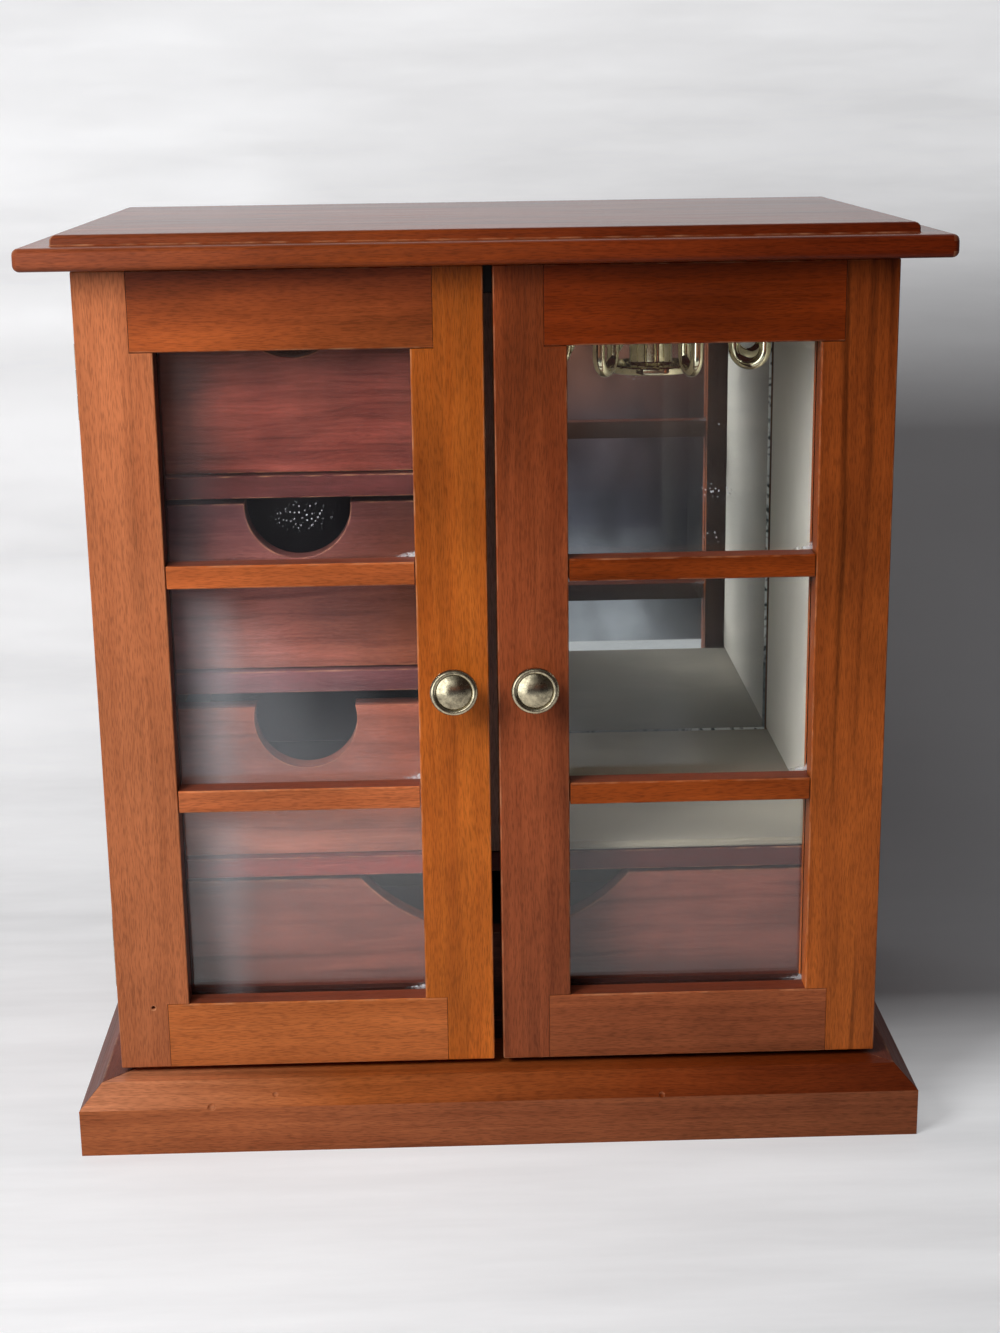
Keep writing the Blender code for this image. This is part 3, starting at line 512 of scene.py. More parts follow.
ease(back, BOARD_ROUND)
hardboard, surface, place = new_finish("back_hardboard")
fibres = cloud(turned(place, stretch=(420, 420, 900)), detail=4, roughness=0.7)
patches = spread(cloud(place, 22, 3), 0.2, 0.8, 0, 0.3)
flecked = tint(calc("MULTIPLY_ADD", spread(fibres, 0.3, 0.7), 0.7, patches), *FIBRE_TONES)
wire(surface, Base_Color=flecked, Roughness=spread(fibres, 0.3, 0.7, 0.5, 0.72))
relief(surface, fibres, 0.15, 0.0003)
settle(back, "cabinet", "inner_board", hardboard, "back_panel")
pin_heads = weld("back_panel_pins", pins)
ease(pin_heads, PIN_ROUND, 2)
steel = metal("dull_steel", (0.46, 0.45, 0.44), (0.16, 0.13, 0.11), 0.3, 0.6)
settle(pin_heads, "cabinet", "aged_brass", steel)


# Mirror: a silvered glass plate standing behind the hook bay. The rim of its face is nipped and
# ground to a rough bright line, which shows beside the lining, and it carries a few wiped smears.
MIRROR_BORDER = 0.0009
MIRROR_GAP = 0.0005
MIRROR_SUNK = 0.0004
PAD_THICKNESS = 0.0028
BORDER_AREA = 0.001
SILVER_TONES = ((0.62, 0.64, 0.65), (0.68, 0.69, 0.7))
GROUND_TONES = ((0.12, 0.13, 0.13), (0.93, 0.95, 0.93))

low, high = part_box("mirror")
bay_low, bay_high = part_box("compartment_lining")
pad_edge = PAD_THICKNESS + MIRROR_GAP
mirror = block(
    "bay_mirror",
    (bay_low.x + pad_edge, low.y, bay_low.z + PAD_THICKNESS - MIRROR_SUNK),
    (bay_high.x - pad_edge, high.y, high.z),
)
choose(mirror, "FACE", facing(FRONT))
bpy.ops.mesh.inset(thickness=MIRROR_BORDER)
close_edit()

silvering, surface, place = new_finish("silvered_glass")
smears = cloud(turned(place, turn=(0, 0.6, 0), stretch=(30, 30, 110)), detail=4)
shine = spread(smears, 0.4, 0.75)
wire(surface, Base_Color=tint(shine, *SILVER_TONES), Roughness=times(shine, 0.03), Metallic=0.94)
settle(mirror, "cabinet", "mirror", silvering, "mirror")

# The line is bright where the window reaches it: up the side, and at the right end of the foot
ground, surface, place = new_finish("ground_glass_edge")
nips = cloud(turned(place, stretch=(420, 40, 420)), detail=1)
spot = measured(place)
lit_side = spread(spot["Z"], 0.118, 0.132, 0.1, 1)
lit_foot = spread(spot["X"], 0.074, 0.084, 0.12, 0.85)
at_foot = spread(spot["Z"], 0.095, 0.0946)
lit = calc("MAXIMUM", lit_side, times(lit_foot, at_foot))
bite = times(spread(nips, 0.36, 0.5), lit)
wire(surface, Base_Color=tint(bite, *GROUND_TONES), Roughness=spread(nips, 0.3, 0.7, 0.25, 0.6))
recoat(mirror, ground, lambda face: facing(FRONT)(face) and face.area < BORDER_AREA)


# Lining of the hook bay: cream velvet over thin wadded card, one piece for the floor and one for
# each wall, glued in with soft rolled edges.
PAD_ROLL = 0.0011
PAD_BORDER = 0.007
PILE_SHADE = (0.36, 0.33, 0.28)


def cream_velvet(name, pale, deep):
    """Short-pile velvet in the given tones, brushed in soft patches, with a dull sheen."""
    finish, surface, place = new_finish(name)
    pile = cloud(place, 2600, 2, 0.6)
    brushed = cloud(turned(place, turn=(0.3, 0.5, 0.2), stretch=(30, 60, 30)), detail=3)
    base = tint(spread(brushed, 0.3, 0.7), deep, pale)
    base = tint(spread(pile, 0.25, 0.6, 0.3, 0), base, PILE_SHADE)
    wire(surface, Base_Color=base, Roughness=spread(brushed, 0.3, 0.7, 0.82, 0.95))
    wire(surface, Sheen_Weight=0.35, Sheen_Roughness=0.45)
    relief(surface, pile, 0.35, 0.0003)
    return finish


low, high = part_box("compartment_lining")
# The walls and the floor are one cream velvet, painted paler on the walls as painted light and much darker on
# the floor as painted shade.
lit_wall_velvet = cream_velvet("lit_wall_velvet", (0.96, 0.905, 0.8), (0.88, 0.825, 0.725))
shaded_floor_velvet = cream_velvet("shaded_floor_velvet", (0.325, 0.285, 0.215), (0.26, 0.228, 0.17))
floor_top = low.z + PAD_THICKNESS
left_foot = (low.x, low.y, floor_top)
left_head = (low.x + PAD_THICKNESS, high.y, high.z)
right_foot = (high.x - PAD_THICKNESS, low.y, floor_top)
for name, pad_low, pad_high, room, velvet in (
    ("bay_floor_velvet", low, (high.x, high.y, floor_top), UP, shaded_floor_velvet),
    ("bay_left_velvet", left_foot, left_head, (1, 0, 0), lit_wall_velvet),
    ("bay_right_velvet", right_foot, high, (-1, 0, 0), lit_wall_velvet),
):
    pad = block(name, pad_low, pad_high)
    choose(pad, "FACE", facing(room))
    bpy.ops.mesh.inset(thickness=PAD_BORDER, depth=0)
    close_edit()
    ease(pad, PAD_ROLL, 4)
    settle(pad, "cabinet", "cream_velvet", velvet, "compartment_lining")


# Magnetic catch: a black moulded holder screwed under the top, with two pairs of steel pole strips
# let into its face, which pull on a small strike plate behind each door.
CATCH_ROUND = 0.0008
POLE_HEIGHT = 0.0012
POLE_PROUD = 0.0003
POLE_SUNK = 0.001
POLE_PITCH = 0.004
POLE_LENGTH = 0.005
POLE_MARGIN = 0.0012
POLE_ROUND = 0.00015
STRIKE_WIDTH = 0.0076
STRIKE_THICKNESS = 0.0006
STRIKE_HEIGHT = 0.0088
STRIKE_INSET = 0.0012
STRIKE_ROUND = 0.0002

low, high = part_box("magnetic_catch")
catch = block("magnetic_catch_holder", low, high)
ease(catch, CATCH_ROUND)
black_plastic, surface, place = new_finish("black_moulding")
orange_peel = cloud(place, 1800, 2)
black = tint(orange_peel, (0.008, 0.008, 0.009), (0.025, 0.025, 0.027))
wire(surface, Base_Color=black, Roughness=spread(orange_peel, 0.3, 0.7, 0.38, 0.55))
settle(catch, "cabinet", "black_plastic", black_plastic, "magnetic_catch")

middle_z = (low.z + high.z) / 2
poles = []
for pole_z in (middle_z - POLE_PITCH / 2, middle_z + POLE_PITCH / 2):
    for pole_x in (low.x + POLE_MARGIN, high.x - POLE_MARGIN - POLE_LENGTH):
        pole_low = (pole_x, low.y - POLE_PROUD, pole_z - POLE_HEIGHT / 2)
        pole_high = (pole_x + POLE_LENGTH, low.y + POLE_SUNK, pole_z + POLE_HEIGHT / 2)
        poles.append(block("pole", pole_low, pole_high))
pole_strips = weld("magnetic_catch_poles", poles)
ease(pole_strips, POLE_ROUND, 2)
settle(pole_strips, "cabinet", "aged_brass", steel)

for door, inward in (("left_door", -1), ("right_door", 1)):
    stile_low, stile_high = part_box(f"{door}_inner_stile")
    near_x = (stile_high.x if inward < 0 else stile_low.x) + inward * STRIKE_INSET
    far_x = near_x + inward * STRIKE_WIDTH
    plate_foot = (near_x, stile_high.y, middle_z - STRIKE_HEIGHT / 2)
    plate_head = (far_x, stile_high.y + STRIKE_THICKNESS, middle_z + STRIKE_HEIGHT / 2)
    strike = block(f"{door}_strike_plate", plate_foot, plate_head)
    ease(strike, STRIKE_ROUND, 2)
    settle(strike, door, "aged_brass", steel)


# Top board: one wide cherry board with a rounded edge, a flat step and a raised field on the front
# and both ends. It is sawn off square at the back and glued down on the case.
TOP_STEP = 0.0069
TOP_INSET = 0.0098
SAW_WASTE = 0.004
TOP_ROUND = 0.0004
FIELD_ROUND = 0.0018
EDGE_ROUND = 0.002
TOP_TONES = ((0.3, 0.058, 0.01), (0.145, 0.025, 0.005))
# Painted light: the edges of the top are greyer at the left end, towards the window, and darker towards the
# right.
TOP_PAINTED_LIGHT = [
    ("X", -0.14, -0.035, (0.8, 1.02, 2.2), (1.09, 1.1, 1.05)),
    ("X", -0.035, 0.035, UNPAINTED, (0.63, 0.49, 0.47)),
    ("X", 0.035, 0.14, UNPAINTED, (0.95, 0.7, 0.5)),
]


def extrude(offset):
    """Draws out what is selected in the piece that is open for editing."""
    bpy.ops.mesh.extrude_region_move(TRANSFORM_OT_translate={"value": offset})


low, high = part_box("top_board")
rough_back = high.y + TOP_INSET + SAW_WASTE
top = block("top_board_moulded", low, (high.x, rough_back, low.z + TOP_STEP))
choose(top, "FACE", facing(UP))
bpy.ops.mesh.inset(thickness=TOP_INSET)
extrude((0, 0, high.z - low.z - TOP_STEP))
close_edit()
bevel(top, lambda edge: along(edge, z=high.z), FIELD_ROUND, 5)
rim = ({"x": low.x}, {"x": high.x}, {"y": low.y})
bevel(
    top,
    lambda edge: any(along(edge, **side) for side in rim) and not along(edge, y=rough_back),
    EDGE_ROUND,
    5,
)
saw(top, (0, high.y, 0), FRONT)
ease(top, TOP_ROUND, 2)
top_finish = cherry("top_edge_cherry", "x", *TOP_TONES, streaks=0.45, painted_light=TOP_PAINTED_LIGHT)
settle(top, "cabinet", "top_wood", top_finish, "top_board")
recoat(top, cherry("top_polished_cherry", "x", *TOP_TONES, streaks=0.45, gloss=0.55), facing(UP))


# Carousel: a turned hub, post and foot disc with eight bent rods soldered to the hub as hooks,
# all plated a bright yellow. It hangs from a shouldered screw in the ceiling and spins by hand.
HUB_RADIUS = 0.012
HUB_HEIGHT = 0.007
HUB_COVE = 0.0038
HUB_STEP = 0.0001
HUB_ROUND = 0.0008
BORE_RADIUS = 0.0023
POST_RADIUS = 0.0073
POST_FILLET = 0.0012
FOOT_RADIUS = 0.015
FOOT_THICKNESS = 0.003
FOOT_ROUND = 0.36 * FOOT_THICKNESS
HOOKS = 8
FIRST_HOOK = math.radians(15.5)
ROD_RADIUS = 0.002
ROD_TIP_ROUND = 0.0014
HOOK_BEND = 0.0055
HOOK_LOWERED = 0.0009
HOOK_CIRCLE = 0.0361
HOOK_ROOT = 0.75 * HUB_RADIUS
TIP_HEIGHT = 0.007
WELL_RADIUS = 0.0043
WELL_DEPTH = 0.001
SAME_POINT = 0.000005
SMOOTH_ANGLE = math.radians(40)


def arc(centre, radius, start, end, steps=8):
    """Points of a round stretch about a centre, from one angle to another in degrees."""
    angles = [math.radians(start + (end - start) * step / steps) for step in range(steps + 1)]
    return [(centre[0] + radius * math.cos(a), centre[1] + radius * math.sin(a)) for a in angles]


def heal():
    """Merges doubled points, turns all faces outward and closes the piece that is being edited."""
    bpy.ops.mesh.select_all(action="SELECT")
    bpy.ops.mesh.remove_doubles(threshold=SAME_POINT)
    bpy.ops.mesh.normals_make_consistent(inside=False)
    close_edit()


def turn(name, outline, steps=64):
    """Turns an outline of (radius, height) points about the Z axis, as on a lathe."""
    deselect()
    bpy.ops.mesh.primitive_plane_add(size=0.001, location=(0, 0, 0))
    piece = added(name)
    choose(piece)
    bpy.ops.mesh.select_mode(type="VERT")
    bpy.ops.mesh.merge(type="CENTER")
    points = [Vector((radius, 0, height)) for radius, height in outline]
    bpy.ops.transform.translate(value=points[0])
    for start, end in zip(points, points[1:]):
        extrude(end - start)
    bpy.ops.mesh.select_all(action="SELECT")
    bpy.ops.mesh.spin(steps=steps, angle=2 * math.pi, center=(0, 0, 0), axis=UP)
    heal()
    bpy.ops.object.shade_smooth_by_angle(angle=SMOOTH_ANGLE)
    return piece


low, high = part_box("carousel_hook_wheel")
axle = Vector(((low.x + high.x) / 2, (low.y + high.y) / 2, 0))
foot_top = low.z + FOOT_THICKNESS
hub_bottom = high.z - HUB_HEIGHT
cove_top = hub_bottom - HUB_STEP
foot_middle = FOOT_RADIUS - FOOT_ROUND
rim_middle = HUB_RADIUS - HUB_ROUND
wheel_outline = [(WELL_RADIUS, foot_top + WELL_DEPTH), (WELL_RADIUS, low.z)]
wheel_outline += arc((foot_middle, low.z + FOOT_ROUND), FOOT_ROUND, -90, 0)
wheel_outline += arc((foot_middle, foot_top - FOOT_ROUND), FOOT_ROUND, 0, 90)
wheel_outline += arc((POST_RADIUS + POST_FILLET, foot_top + POST_FILLET), POST_FILLET, -90, -180)
wheel_outline += arc((POST_RADIUS + HUB_COVE, cove_top - HUB_COVE), HUB_COVE, 180, 90)
wheel_outline += arc((rim_middle, hub_bottom + HUB_ROUND), HUB_ROUND, -90, 0)
wheel_outline += arc((rim_middle, high.z - HUB_ROUND), HUB_ROUND, 0, 90)
wheel_outline += [(BORE_RADIUS, high.z)]
hub = turn("carousel_hub", wheel_outline)
hub.data.transform(Matrix.Translation(axle))

arm_z = high.z - HUB_HEIGHT / 2
bowl_z = foot_top - HOOK_LOWERED + HOOK_BEND + ROD_RADIUS
shoulder = (HOOK_CIRCLE - 2 * HOOK_BEND, 0, arm_z - HOOK_BEND)
bowl = (HOOK_CIRCLE, 0, bowl_z)
across_arm = (0, 1, 0)
deselect()
bpy.ops.mesh.primitive_circle_add(
    vertices=20,
    radius=ROD_RADIUS,
    fill_type="NGON",
    location=(HOOK_ROOT, 0, arm_z),
    rotation=(0, math.pi / 2, 0),
)
hook = added("hook")
choose(hook)
extrude((shoulder[0] - HOOK_ROOT, 0, 0))
bpy.ops.mesh.spin(steps=10, angle=-math.pi / 2, center=shoulder, axis=across_arm)
extrude((0, 0, bowl_z - shoulder[2]))
bpy.ops.mesh.spin(steps=24, angle=math.pi, center=bowl, axis=across_arm)
extrude((0, 0, TIP_HEIGHT))
heal()
ease(hook, ROD_TIP_ROUND, 4)
hooks = [hook]
for index in range(1, HOOKS):
    copy = hook.copy()
    copy.data = hook.data.copy()
    bpy.context.scene.collection.objects.link(copy)
    hooks.append(copy)
for index, bent in enumerate(hooks):
    spoke = Matrix.Rotation(FIRST_HOOK + index * 2 * math.pi / HOOKS, 4, "Z")
    bent.data.transform(Matrix.Translation(axle) @ spoke)
wheel = weld("carousel_plated_wheel", [hub, *hooks])
plated = metal("plated_brass", (0.95, 0.89, 0.63), (0.4, 0.35, 0.21), 0.05, 0.22)
settle(wheel, "carousel", "plated_brass", plated, "carousel_hook_wheel")

SCREW_RADIUS = 0.004
SCREW_HEAD = 0.003
SCREW_ROUND = 0.0006
SHANK_RADIUS = SCREW_RADIUS / 2
SLOT_PAST = 0.001
SLOT_HALF = 0.0005
SLOT_DEPTH = 0.0011

low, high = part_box("carousel_spindle")
head_top = low.z + SCREW_HEAD
screw_outline = [(0, low.z)]
screw_outline += arc((SCREW_RADIUS - SCREW_ROUND, low.z + SCREW_ROUND), SCREW_ROUND, -90, 0)
screw_outline += [(SCREW_RADIUS, head_top), (SHANK_RADIUS, head_top)]
screw_outline += [(SHANK_RADIUS, high.z), (0, high.z)]
screw = turn("carousel_shoulder_screw", screw_outline)
screw.data.transform(Matrix.Translation(axle))
slot_low = (axle.x - SCREW_RADIUS - SLOT_PAST, axle.y - SLOT_HALF, low.z - SLOT_PAST)
slot_high = (axle.x + SCREW_RADIUS + SLOT_PAST, axle.y + SLOT_HALF, low.z + SLOT_DEPTH)
carve(screw, block("driver_slot", slot_low, slot_high))
aged = metal("aged_brass", (0.56, 0.47, 0.31), (0.1, 0.085, 0.058), 0.22, 0.75)
settle(screw, "cabinet", "aged_brass", aged, "carousel_spindle")


# Doors: two stiles, two rails and two thin bars each, in paler and oranger cherry than the case.
# The rails are lapped into the stiles with a fine open joint, and the glass slides in a groove.
DOOR_ROUND = 0.0005
PANE_ROUND = 0.0003
JOINT = 0.0003
LAP_JOINT = 0.00012
PAST = 0.002
NAIL_HOLE = (-0.1134, 0.0462)
NAIL_RADIUS = 0.00055
NAIL_DEPTH = 0.004
# Pale tone, deep tone, dark streaks and mottling of each piece. The tones are partly the boards'
# own and partly painted light: the right door darker, as the window light falls off, and the top
# rails darker, as painted shade under the top board.
DOOR_TONES_AND_PAINTED_LIGHT = {
    "left_door_outer_stile": ((0.533, 0.167, 0.063), (0.349, 0.097, 0.034), 0.25, 0.12),
    "left_door_inner_stile": ((0.546, 0.139, 0.018), (0.352, 0.076, 0.01), 0.3, 0.28),
    "left_door_top_rail": ((0.285, 0.059, 0.013), (0.16, 0.03, 0.007), 0.3, 0.42),
    "left_door_bottom_rail": ((0.658, 0.189, 0.05), (0.417, 0.104, 0.023), 0.25, 0.14),
    "left_door_upper_muntin": ((0.536, 0.13, 0.032), (0.335, 0.072, 0.017), 0.25, 0.3),
    "left_door_lower_muntin": ((0.883, 0.251, 0.087), (0.538, 0.134, 0.041), 0.45, 0.3),
    "right_door_outer_stile": ((0.45, 0.101, 0.013), (0.225, 0.045, 0.007), 0.9, 0.28),
    "right_door_inner_stile": ((0.341, 0.081, 0.024), (0.192, 0.041, 0.012), 0.4, 0.3),
    "right_door_top_rail": ((0.225, 0.031, 0.003), (0.121, 0.016, 0.001), 0.3, 0.34),
    "right_door_bottom_rail": ((0.433, 0.119, 0.042), (0.255, 0.062, 0.021), 0.35, 0.3),
    "right_door_upper_muntin": ((0.317, 0.055, 0.006), (0.188, 0.027, 0.002), 0.3, 0.4),
    "right_door_lower_muntin": ((0.402, 0.078, 0.01), (0.237, 0.041, 0.005), 0.3, 0.34),
}
# Painted shade: the left top rail darkens towards its top, under the top board, and the stiles darken from
# the bottom towards the top.
DOOR_PAINTED_SHADE = {
    "left_door_top_rail": [("Z", 0.2605, 0.2851, (1.3, 1.42, 1.3), (0.68, 0.6, 0.75))],
    "left_door_inner_stile": [("Z", 0.03, 0.285, (1.4, 1.42, 1.4), (0.74, 0.7, 0.56))],
    "right_door_inner_stile": [("Z", 0.03, 0.285, (1.26, 1.36, 1.65), (0.82, 0.68, 0.48))],
    "right_door_outer_stile": [("Z", 0.03, 0.285, (1.36, 1.5, 1.9), (0.7, 0.6, 0.62))],
}
# Painted shade: the left reveals, the ledges, the groove and the backs of the doors are painted dark, the
# groove nearly black and the ledges the lightest.
REVEAL_PAINTED_SHADE = ((0.14, 0.028, 0.012), (0.072, 0.014, 0.006))
LEDGE_PAINTED_SHADE = ((0.24, 0.051, 0.021), (0.125, 0.026, 0.011))
GROOVE_PAINTED_SHADE = ((0.026, 0.007, 0.005), (0.012, 0.003, 0.002))
BACK_PAINTED_SHADE = ((0.145, 0.09, 0.073), (0.088, 0.053, 0.043))

# Where the lights of the doors start and repeat
LIGHT_BOTTOM = 0.0473
LIGHT_PITCH = 0.0735
VEIL_MIDDLE = -0.062
VEIL_SLOPE = 0.9
STRIPE_X = -0.0868
SPATTERS = (
    (-0.0588, 0.2078, 0.0052),
    (0.07, 0.2133, 0.004),
    (0.0696, 0.1987, 0.0026),
    (0.071, 0.2348, 0.0016),
)
grime, grime_in, grime_out = effect(
    "glass_grime", {"Place": "Vector", "Corner": "Float", "Veil": "Float"}, {"Film": "Float"}
)
on_pane = measured(grime_in["Place"])
pane_x, pane_z = on_pane["X"], on_pane["Z"]
haze = spread(cloud(grime_in["Place"], 14, 3), 0.35, 0.75, 0, 0.01)
breath = spread(pane_x, -0.102, -0.08, 0.014, 0)
haze = calc("MULTIPLY_ADD", breath, spread(pane_z, 0.17, 0.2), haze)
# A wiped veil, from the middle of a door downward, with an edge that falls to the right
tilt = calc("MULTIPLY_ADD", calc("SUBTRACT", pane_x, VEIL_MIDDLE), VEIL_SLOPE, pane_z)
wavy = calc("SUBTRACT", cloud(grime_in["Place"], 42, 2), 0.5)
tilt = calc("MULTIPLY_ADD", wavy, 0.022, tilt)
wiped = times(spread(tilt, 0.142, 0.172, 1, 0), spread(pane_z, 0.055, 0.1))
stripe = calc("ABSOLUTE", calc("SUBTRACT", pane_x, STRIPE_X))
stripe = times(spread(stripe, 0.001, 0.008, 1, 0), spread(pane_z, 0.188, 0.165))
thick = spread(pane_x, -0.092, -0.055, 1.7, 0.9)
veil = calc("MULTIPLY_ADD", stripe, 0.9, times(wiped, thick))
veil = times(veil, grime_in["Veil"])
# Specks in small clusters, and dust that gathers in the lower right corner of each light
flat_place = wire(beside("CombineXYZ", pane_x), pane_x, pane_z)[0]
grit = beside("TexVoronoi", flat_place)
grit.voronoi_dimensions = "2D"
grains = wire(grit, Vector=flat_place, Scale=600)["Distance"]
near_spatter = 0
for spatter_x, spatter_z, reach in SPATTERS:
    aside = times(calc("SUBTRACT", pane_x, spatter_x), 0.5)
    upward = calc("SUBTRACT", pane_z, spatter_z)
    squares = calc("MULTIPLY_ADD", aside, aside, times(upward, upward))
    inside = spread(calc("SQRT", squares), 0.3 * reach, reach, 1, 0)
    near_spatter = calc("MAXIMUM", near_spatter, inside)
picked = spread(cloud(grime_in["Place"], 700, 1), 0.44, 0.56)
specks = times(spread(grains, 0.08, 0.18, 0.75, 0), picked)
specks = times(specks, near_spatter)
above = calc("FLOORED_MODULO", calc("SUBTRACT", pane_z, LIGHT_BOTTOM), LIGHT_PITCH)
before_end = calc("SUBTRACT", grime_in["Corner"], pane_x)
away = calc("MULTIPLY_ADD", before_end, 0.7, times(above, 2.2))
ragged = calc("SUBTRACT", cloud(grime_in["Place"], 900, 3), 0.5)
settled = spread(calc("MULTIPLY_ADD", ragged, 0.01, away), 0.0005, 0.0045, 0.65, 0)
film = calc("MAXIMUM", calc("ADD", haze, veil), calc("MAXIMUM", specks, settled))
wire(grime_out, Film=film)


def pane_glass(name, corner, veil):
    """Thin clear glass with a film of dust. Lamps shine through it on to what is behind."""
    finish, clear, place = new_finish(name)
    wire(clear, Base_Color=(0.97, 0.99, 0.98), Transmission_Weight=1, Roughness=0, IOR=1.5)
    dirt = place_effect(grime, Place=place, Corner=corner, Veil=veil)["Film"]
    dust = wire(beside("BsdfPrincipled", place), Base_Color=(0.72, 0.74, 0.78), Roughness=0.9)[0]
    dusty = wire(beside("MixShader", place), dirt, clear.outputs[0], dust)[0]
    unseen = beside("BsdfTransparent", place).outputs[0]
    shadow = beside("LightPath", place).outputs["Is Shadow Ray"]
    lit_through = wire(beside("MixShader", place), shadow, dusty, unseen)[0]
    wire(finish.node_tree.nodes["Material Output"], Surface=lit_through)
    return finish


def paint_reveal_shade(piece, upright, glass_y, patches):
    """Paints shade on the left or upper reveals, the back and the groove, darkest in the groove and behind
    the glass, and clears their pale rounds.
    """
    reveal = Vector((1, 0, 0)) if upright else Vector(UP)
    for shade_finish in patches:
        piece.data.materials.append(shade_finish)
    worn_and_highlit_rounds = piece.data.attributes["worn_and_highlit_edge"].data
    front_y = min(corner[1] for corner in piece.bound_box)
    for face in piece.data.polygons:
        shaded = face.normal.dot(reveal) > 0.3
        set_in = face.center.y > front_y + DOOR_ROUND
        if face.normal.y > 0.3:
            face.material_index = 2
        elif set_in and (face.normal.y < -0.3 or shaded and face.center.y > glass_y):
            face.material_index = 3
        elif set_in and shaded:
            face.material_index = 1
        if face.material_index:
            worn_and_highlit_rounds[face.index].value = 0


def widened(box, x, y, z):
    """A box's two corners, moved apart on each axis."""
    more = Vector((x, y, z))
    return box[0] - more, box[1] + more


for door, light_end, veil in (("left_door", -0.0239, 0.042), ("right_door", 0.1016, 0)):
    glass_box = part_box(f"{door}_glass")
    glass_y = (glass_box[0].y + glass_box[1].y) / 2
    pieces = [node for node in DOOR_TONES_AND_PAINTED_LIGHT if node.startswith(door)]
    for node in pieces:
        pale, deep, streaks, mottle = DOOR_TONES_AND_PAINTED_LIGHT[node]
        upright = node.endswith("stile")
        grain = "z" if upright else "x"
        piece = block(f"{node}_joined", *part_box(node))
        if upright:
            for rail, below, over in (("top", LAP_JOINT, PAST), ("bottom", PAST, LAP_JOINT)):
                lap_low, lap_high = widened(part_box(f"{door}_{rail}_rail"), LAP_JOINT, PAST, 0)
                lap_low.z -= below
                lap_high.z += over
                carve(piece, block("lap", lap_low, lap_high))
        if not node.endswith("muntin"):
            carve(piece, block("groove", *widened(glass_box, JOINT, JOINT, JOINT)))
        if node == "left_door_outer_stile":
            hole = (NAIL_HOLE[0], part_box(node)[0].y, NAIL_HOLE[1])
            carve(piece, disc("nail_hole", hole, NAIL_RADIUS, NAIL_DEPTH, "y"))
        touching = [widened(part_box(other), 2 * JOINT, PAST, 2 * JOINT) for other in pieces if other != node]
        touching.append(widened(glass_box, 2 * JOINT, 2 * JOINT, 2 * JOINT))
        ease(piece, DOOR_ROUND, glued=touching)
        painted_light = DOOR_PAINTED_SHADE.get(node, ())
        lacquered = cherry(f"{node}_cherry", grain, pale, deep, streaks, mottle=mottle, painted_light=painted_light)
        settle(piece, door, "frame_wood", lacquered, node)
        # The reveals, ledges, groove and back get painted shade
        painted_shade_tones = REVEAL_PAINTED_SHADE if upright else LEDGE_PAINTED_SHADE
        patches = (
            cherry(f"{node}_reveal_painted_shade", grain, *painted_shade_tones),
            cherry(f"{node}_back_painted_shade", grain, *BACK_PAINTED_SHADE),
            cherry(f"{node}_groove_painted_shade", grain, *GROOVE_PAINTED_SHADE, cut=1),
        )
        paint_reveal_shade(piece, upright, glass_y, patches)
    pane = block(f"{door}_pane", *glass_box)
    ease(pane, PANE_ROUND, 1)
    glass = pane_glass(f"{door}_glass_finish", light_end, veil)
    settle(pane, door, "door_glass", glass, f"{door}_glass")


# Hinges: pairs of small pressed brass butts in the gap behind each door, one leaf screwed to the
# door and one to the case, with three knuckles round a steel pin.
LEAF_THICKNESS = 0.0005
KNUCKLE_RADIUS = 0.0013
KNUCKLE_GAP = 0.00015
LEAF_SCREW_RADIUS = 0.0015
LEAF_SCREW_PROUD = 0.0001
LEAF_SCREW_LENGTH = LEAF_THICKNESS + 2 * LEAF_SCREW_PROUD
LEAF_ROUND = 0.00012


def hinge_leaf(name, low, high, side, thirds, leaf_front):
    """A flat leaf with its knuckles, as high as the leaf's box, and two flush screws."""
    pin_x = (high.x if side > 0 else low.x) - side * KNUCKLE_RADIUS
    root_x = low.x if side > 0 else high.x
    plate_x = pin_x - side * (KNUCKLE_RADIUS + KNUCKLE_GAP)
    tab_x = plate_x - side * KNUCKLE_RADIUS
    leaf_back = leaf_front + LEAF_THICKNESS
    pin_y = (low.y + high.y) / 2
    third = (high.z - low.z) / 3
    parts = [block("plate", (root_x, leaf_front, low.z), (plate_x, leaf_back, high.z))]
    for index in thirds:
        foot = low.z + index * third + KNUCKLE_GAP
        head = low.z + (index + 1) * third - KNUCKLE_GAP
        parts.append(block("tab", (tab_x, leaf_front, foot), (pin_x, leaf_back, head)))
        parts.append(disc("knuckle", (pin_x, pin_y, (foot + head) / 2), KNUCKLE_RADIUS, head - foot, "z"))
    for screw_z in (low.z + third / 2, high.z - third / 2):
        middle = ((root_x + plate_x) / 2, (leaf_front + leaf_back) / 2, screw_z)
        parts.append(disc("screw", middle, LEAF_SCREW_RADIUS, LEAF_SCREW_LENGTH, "y"))
    leaf = weld(name, parts)
    ease(leaf, LEAF_ROUND, 2)
    return leaf


for side, label in ((-1, "left"), (1, "right")):
    case_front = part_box(f"{label}_side_panel")[0].y - JOINT - LEAF_THICKNESS
    door_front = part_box(f"{label}_door_outer_stile")[1].y + JOINT
    for level in ("upper", "lower"):
        for carrier, body, thirds, leaf_front in (
            ("case", "cabinet", (0, 2), case_front),
            ("door", f"{label}_door", (1,), door_front),
        ):
            node = f"{label}_{level}_hinge_{carrier}_leaf"
            leaf = hinge_leaf(f"{node}_pressed", *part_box(node), side, thirds, leaf_front)
            settle(leaf, body, "aged_brass", aged, node)


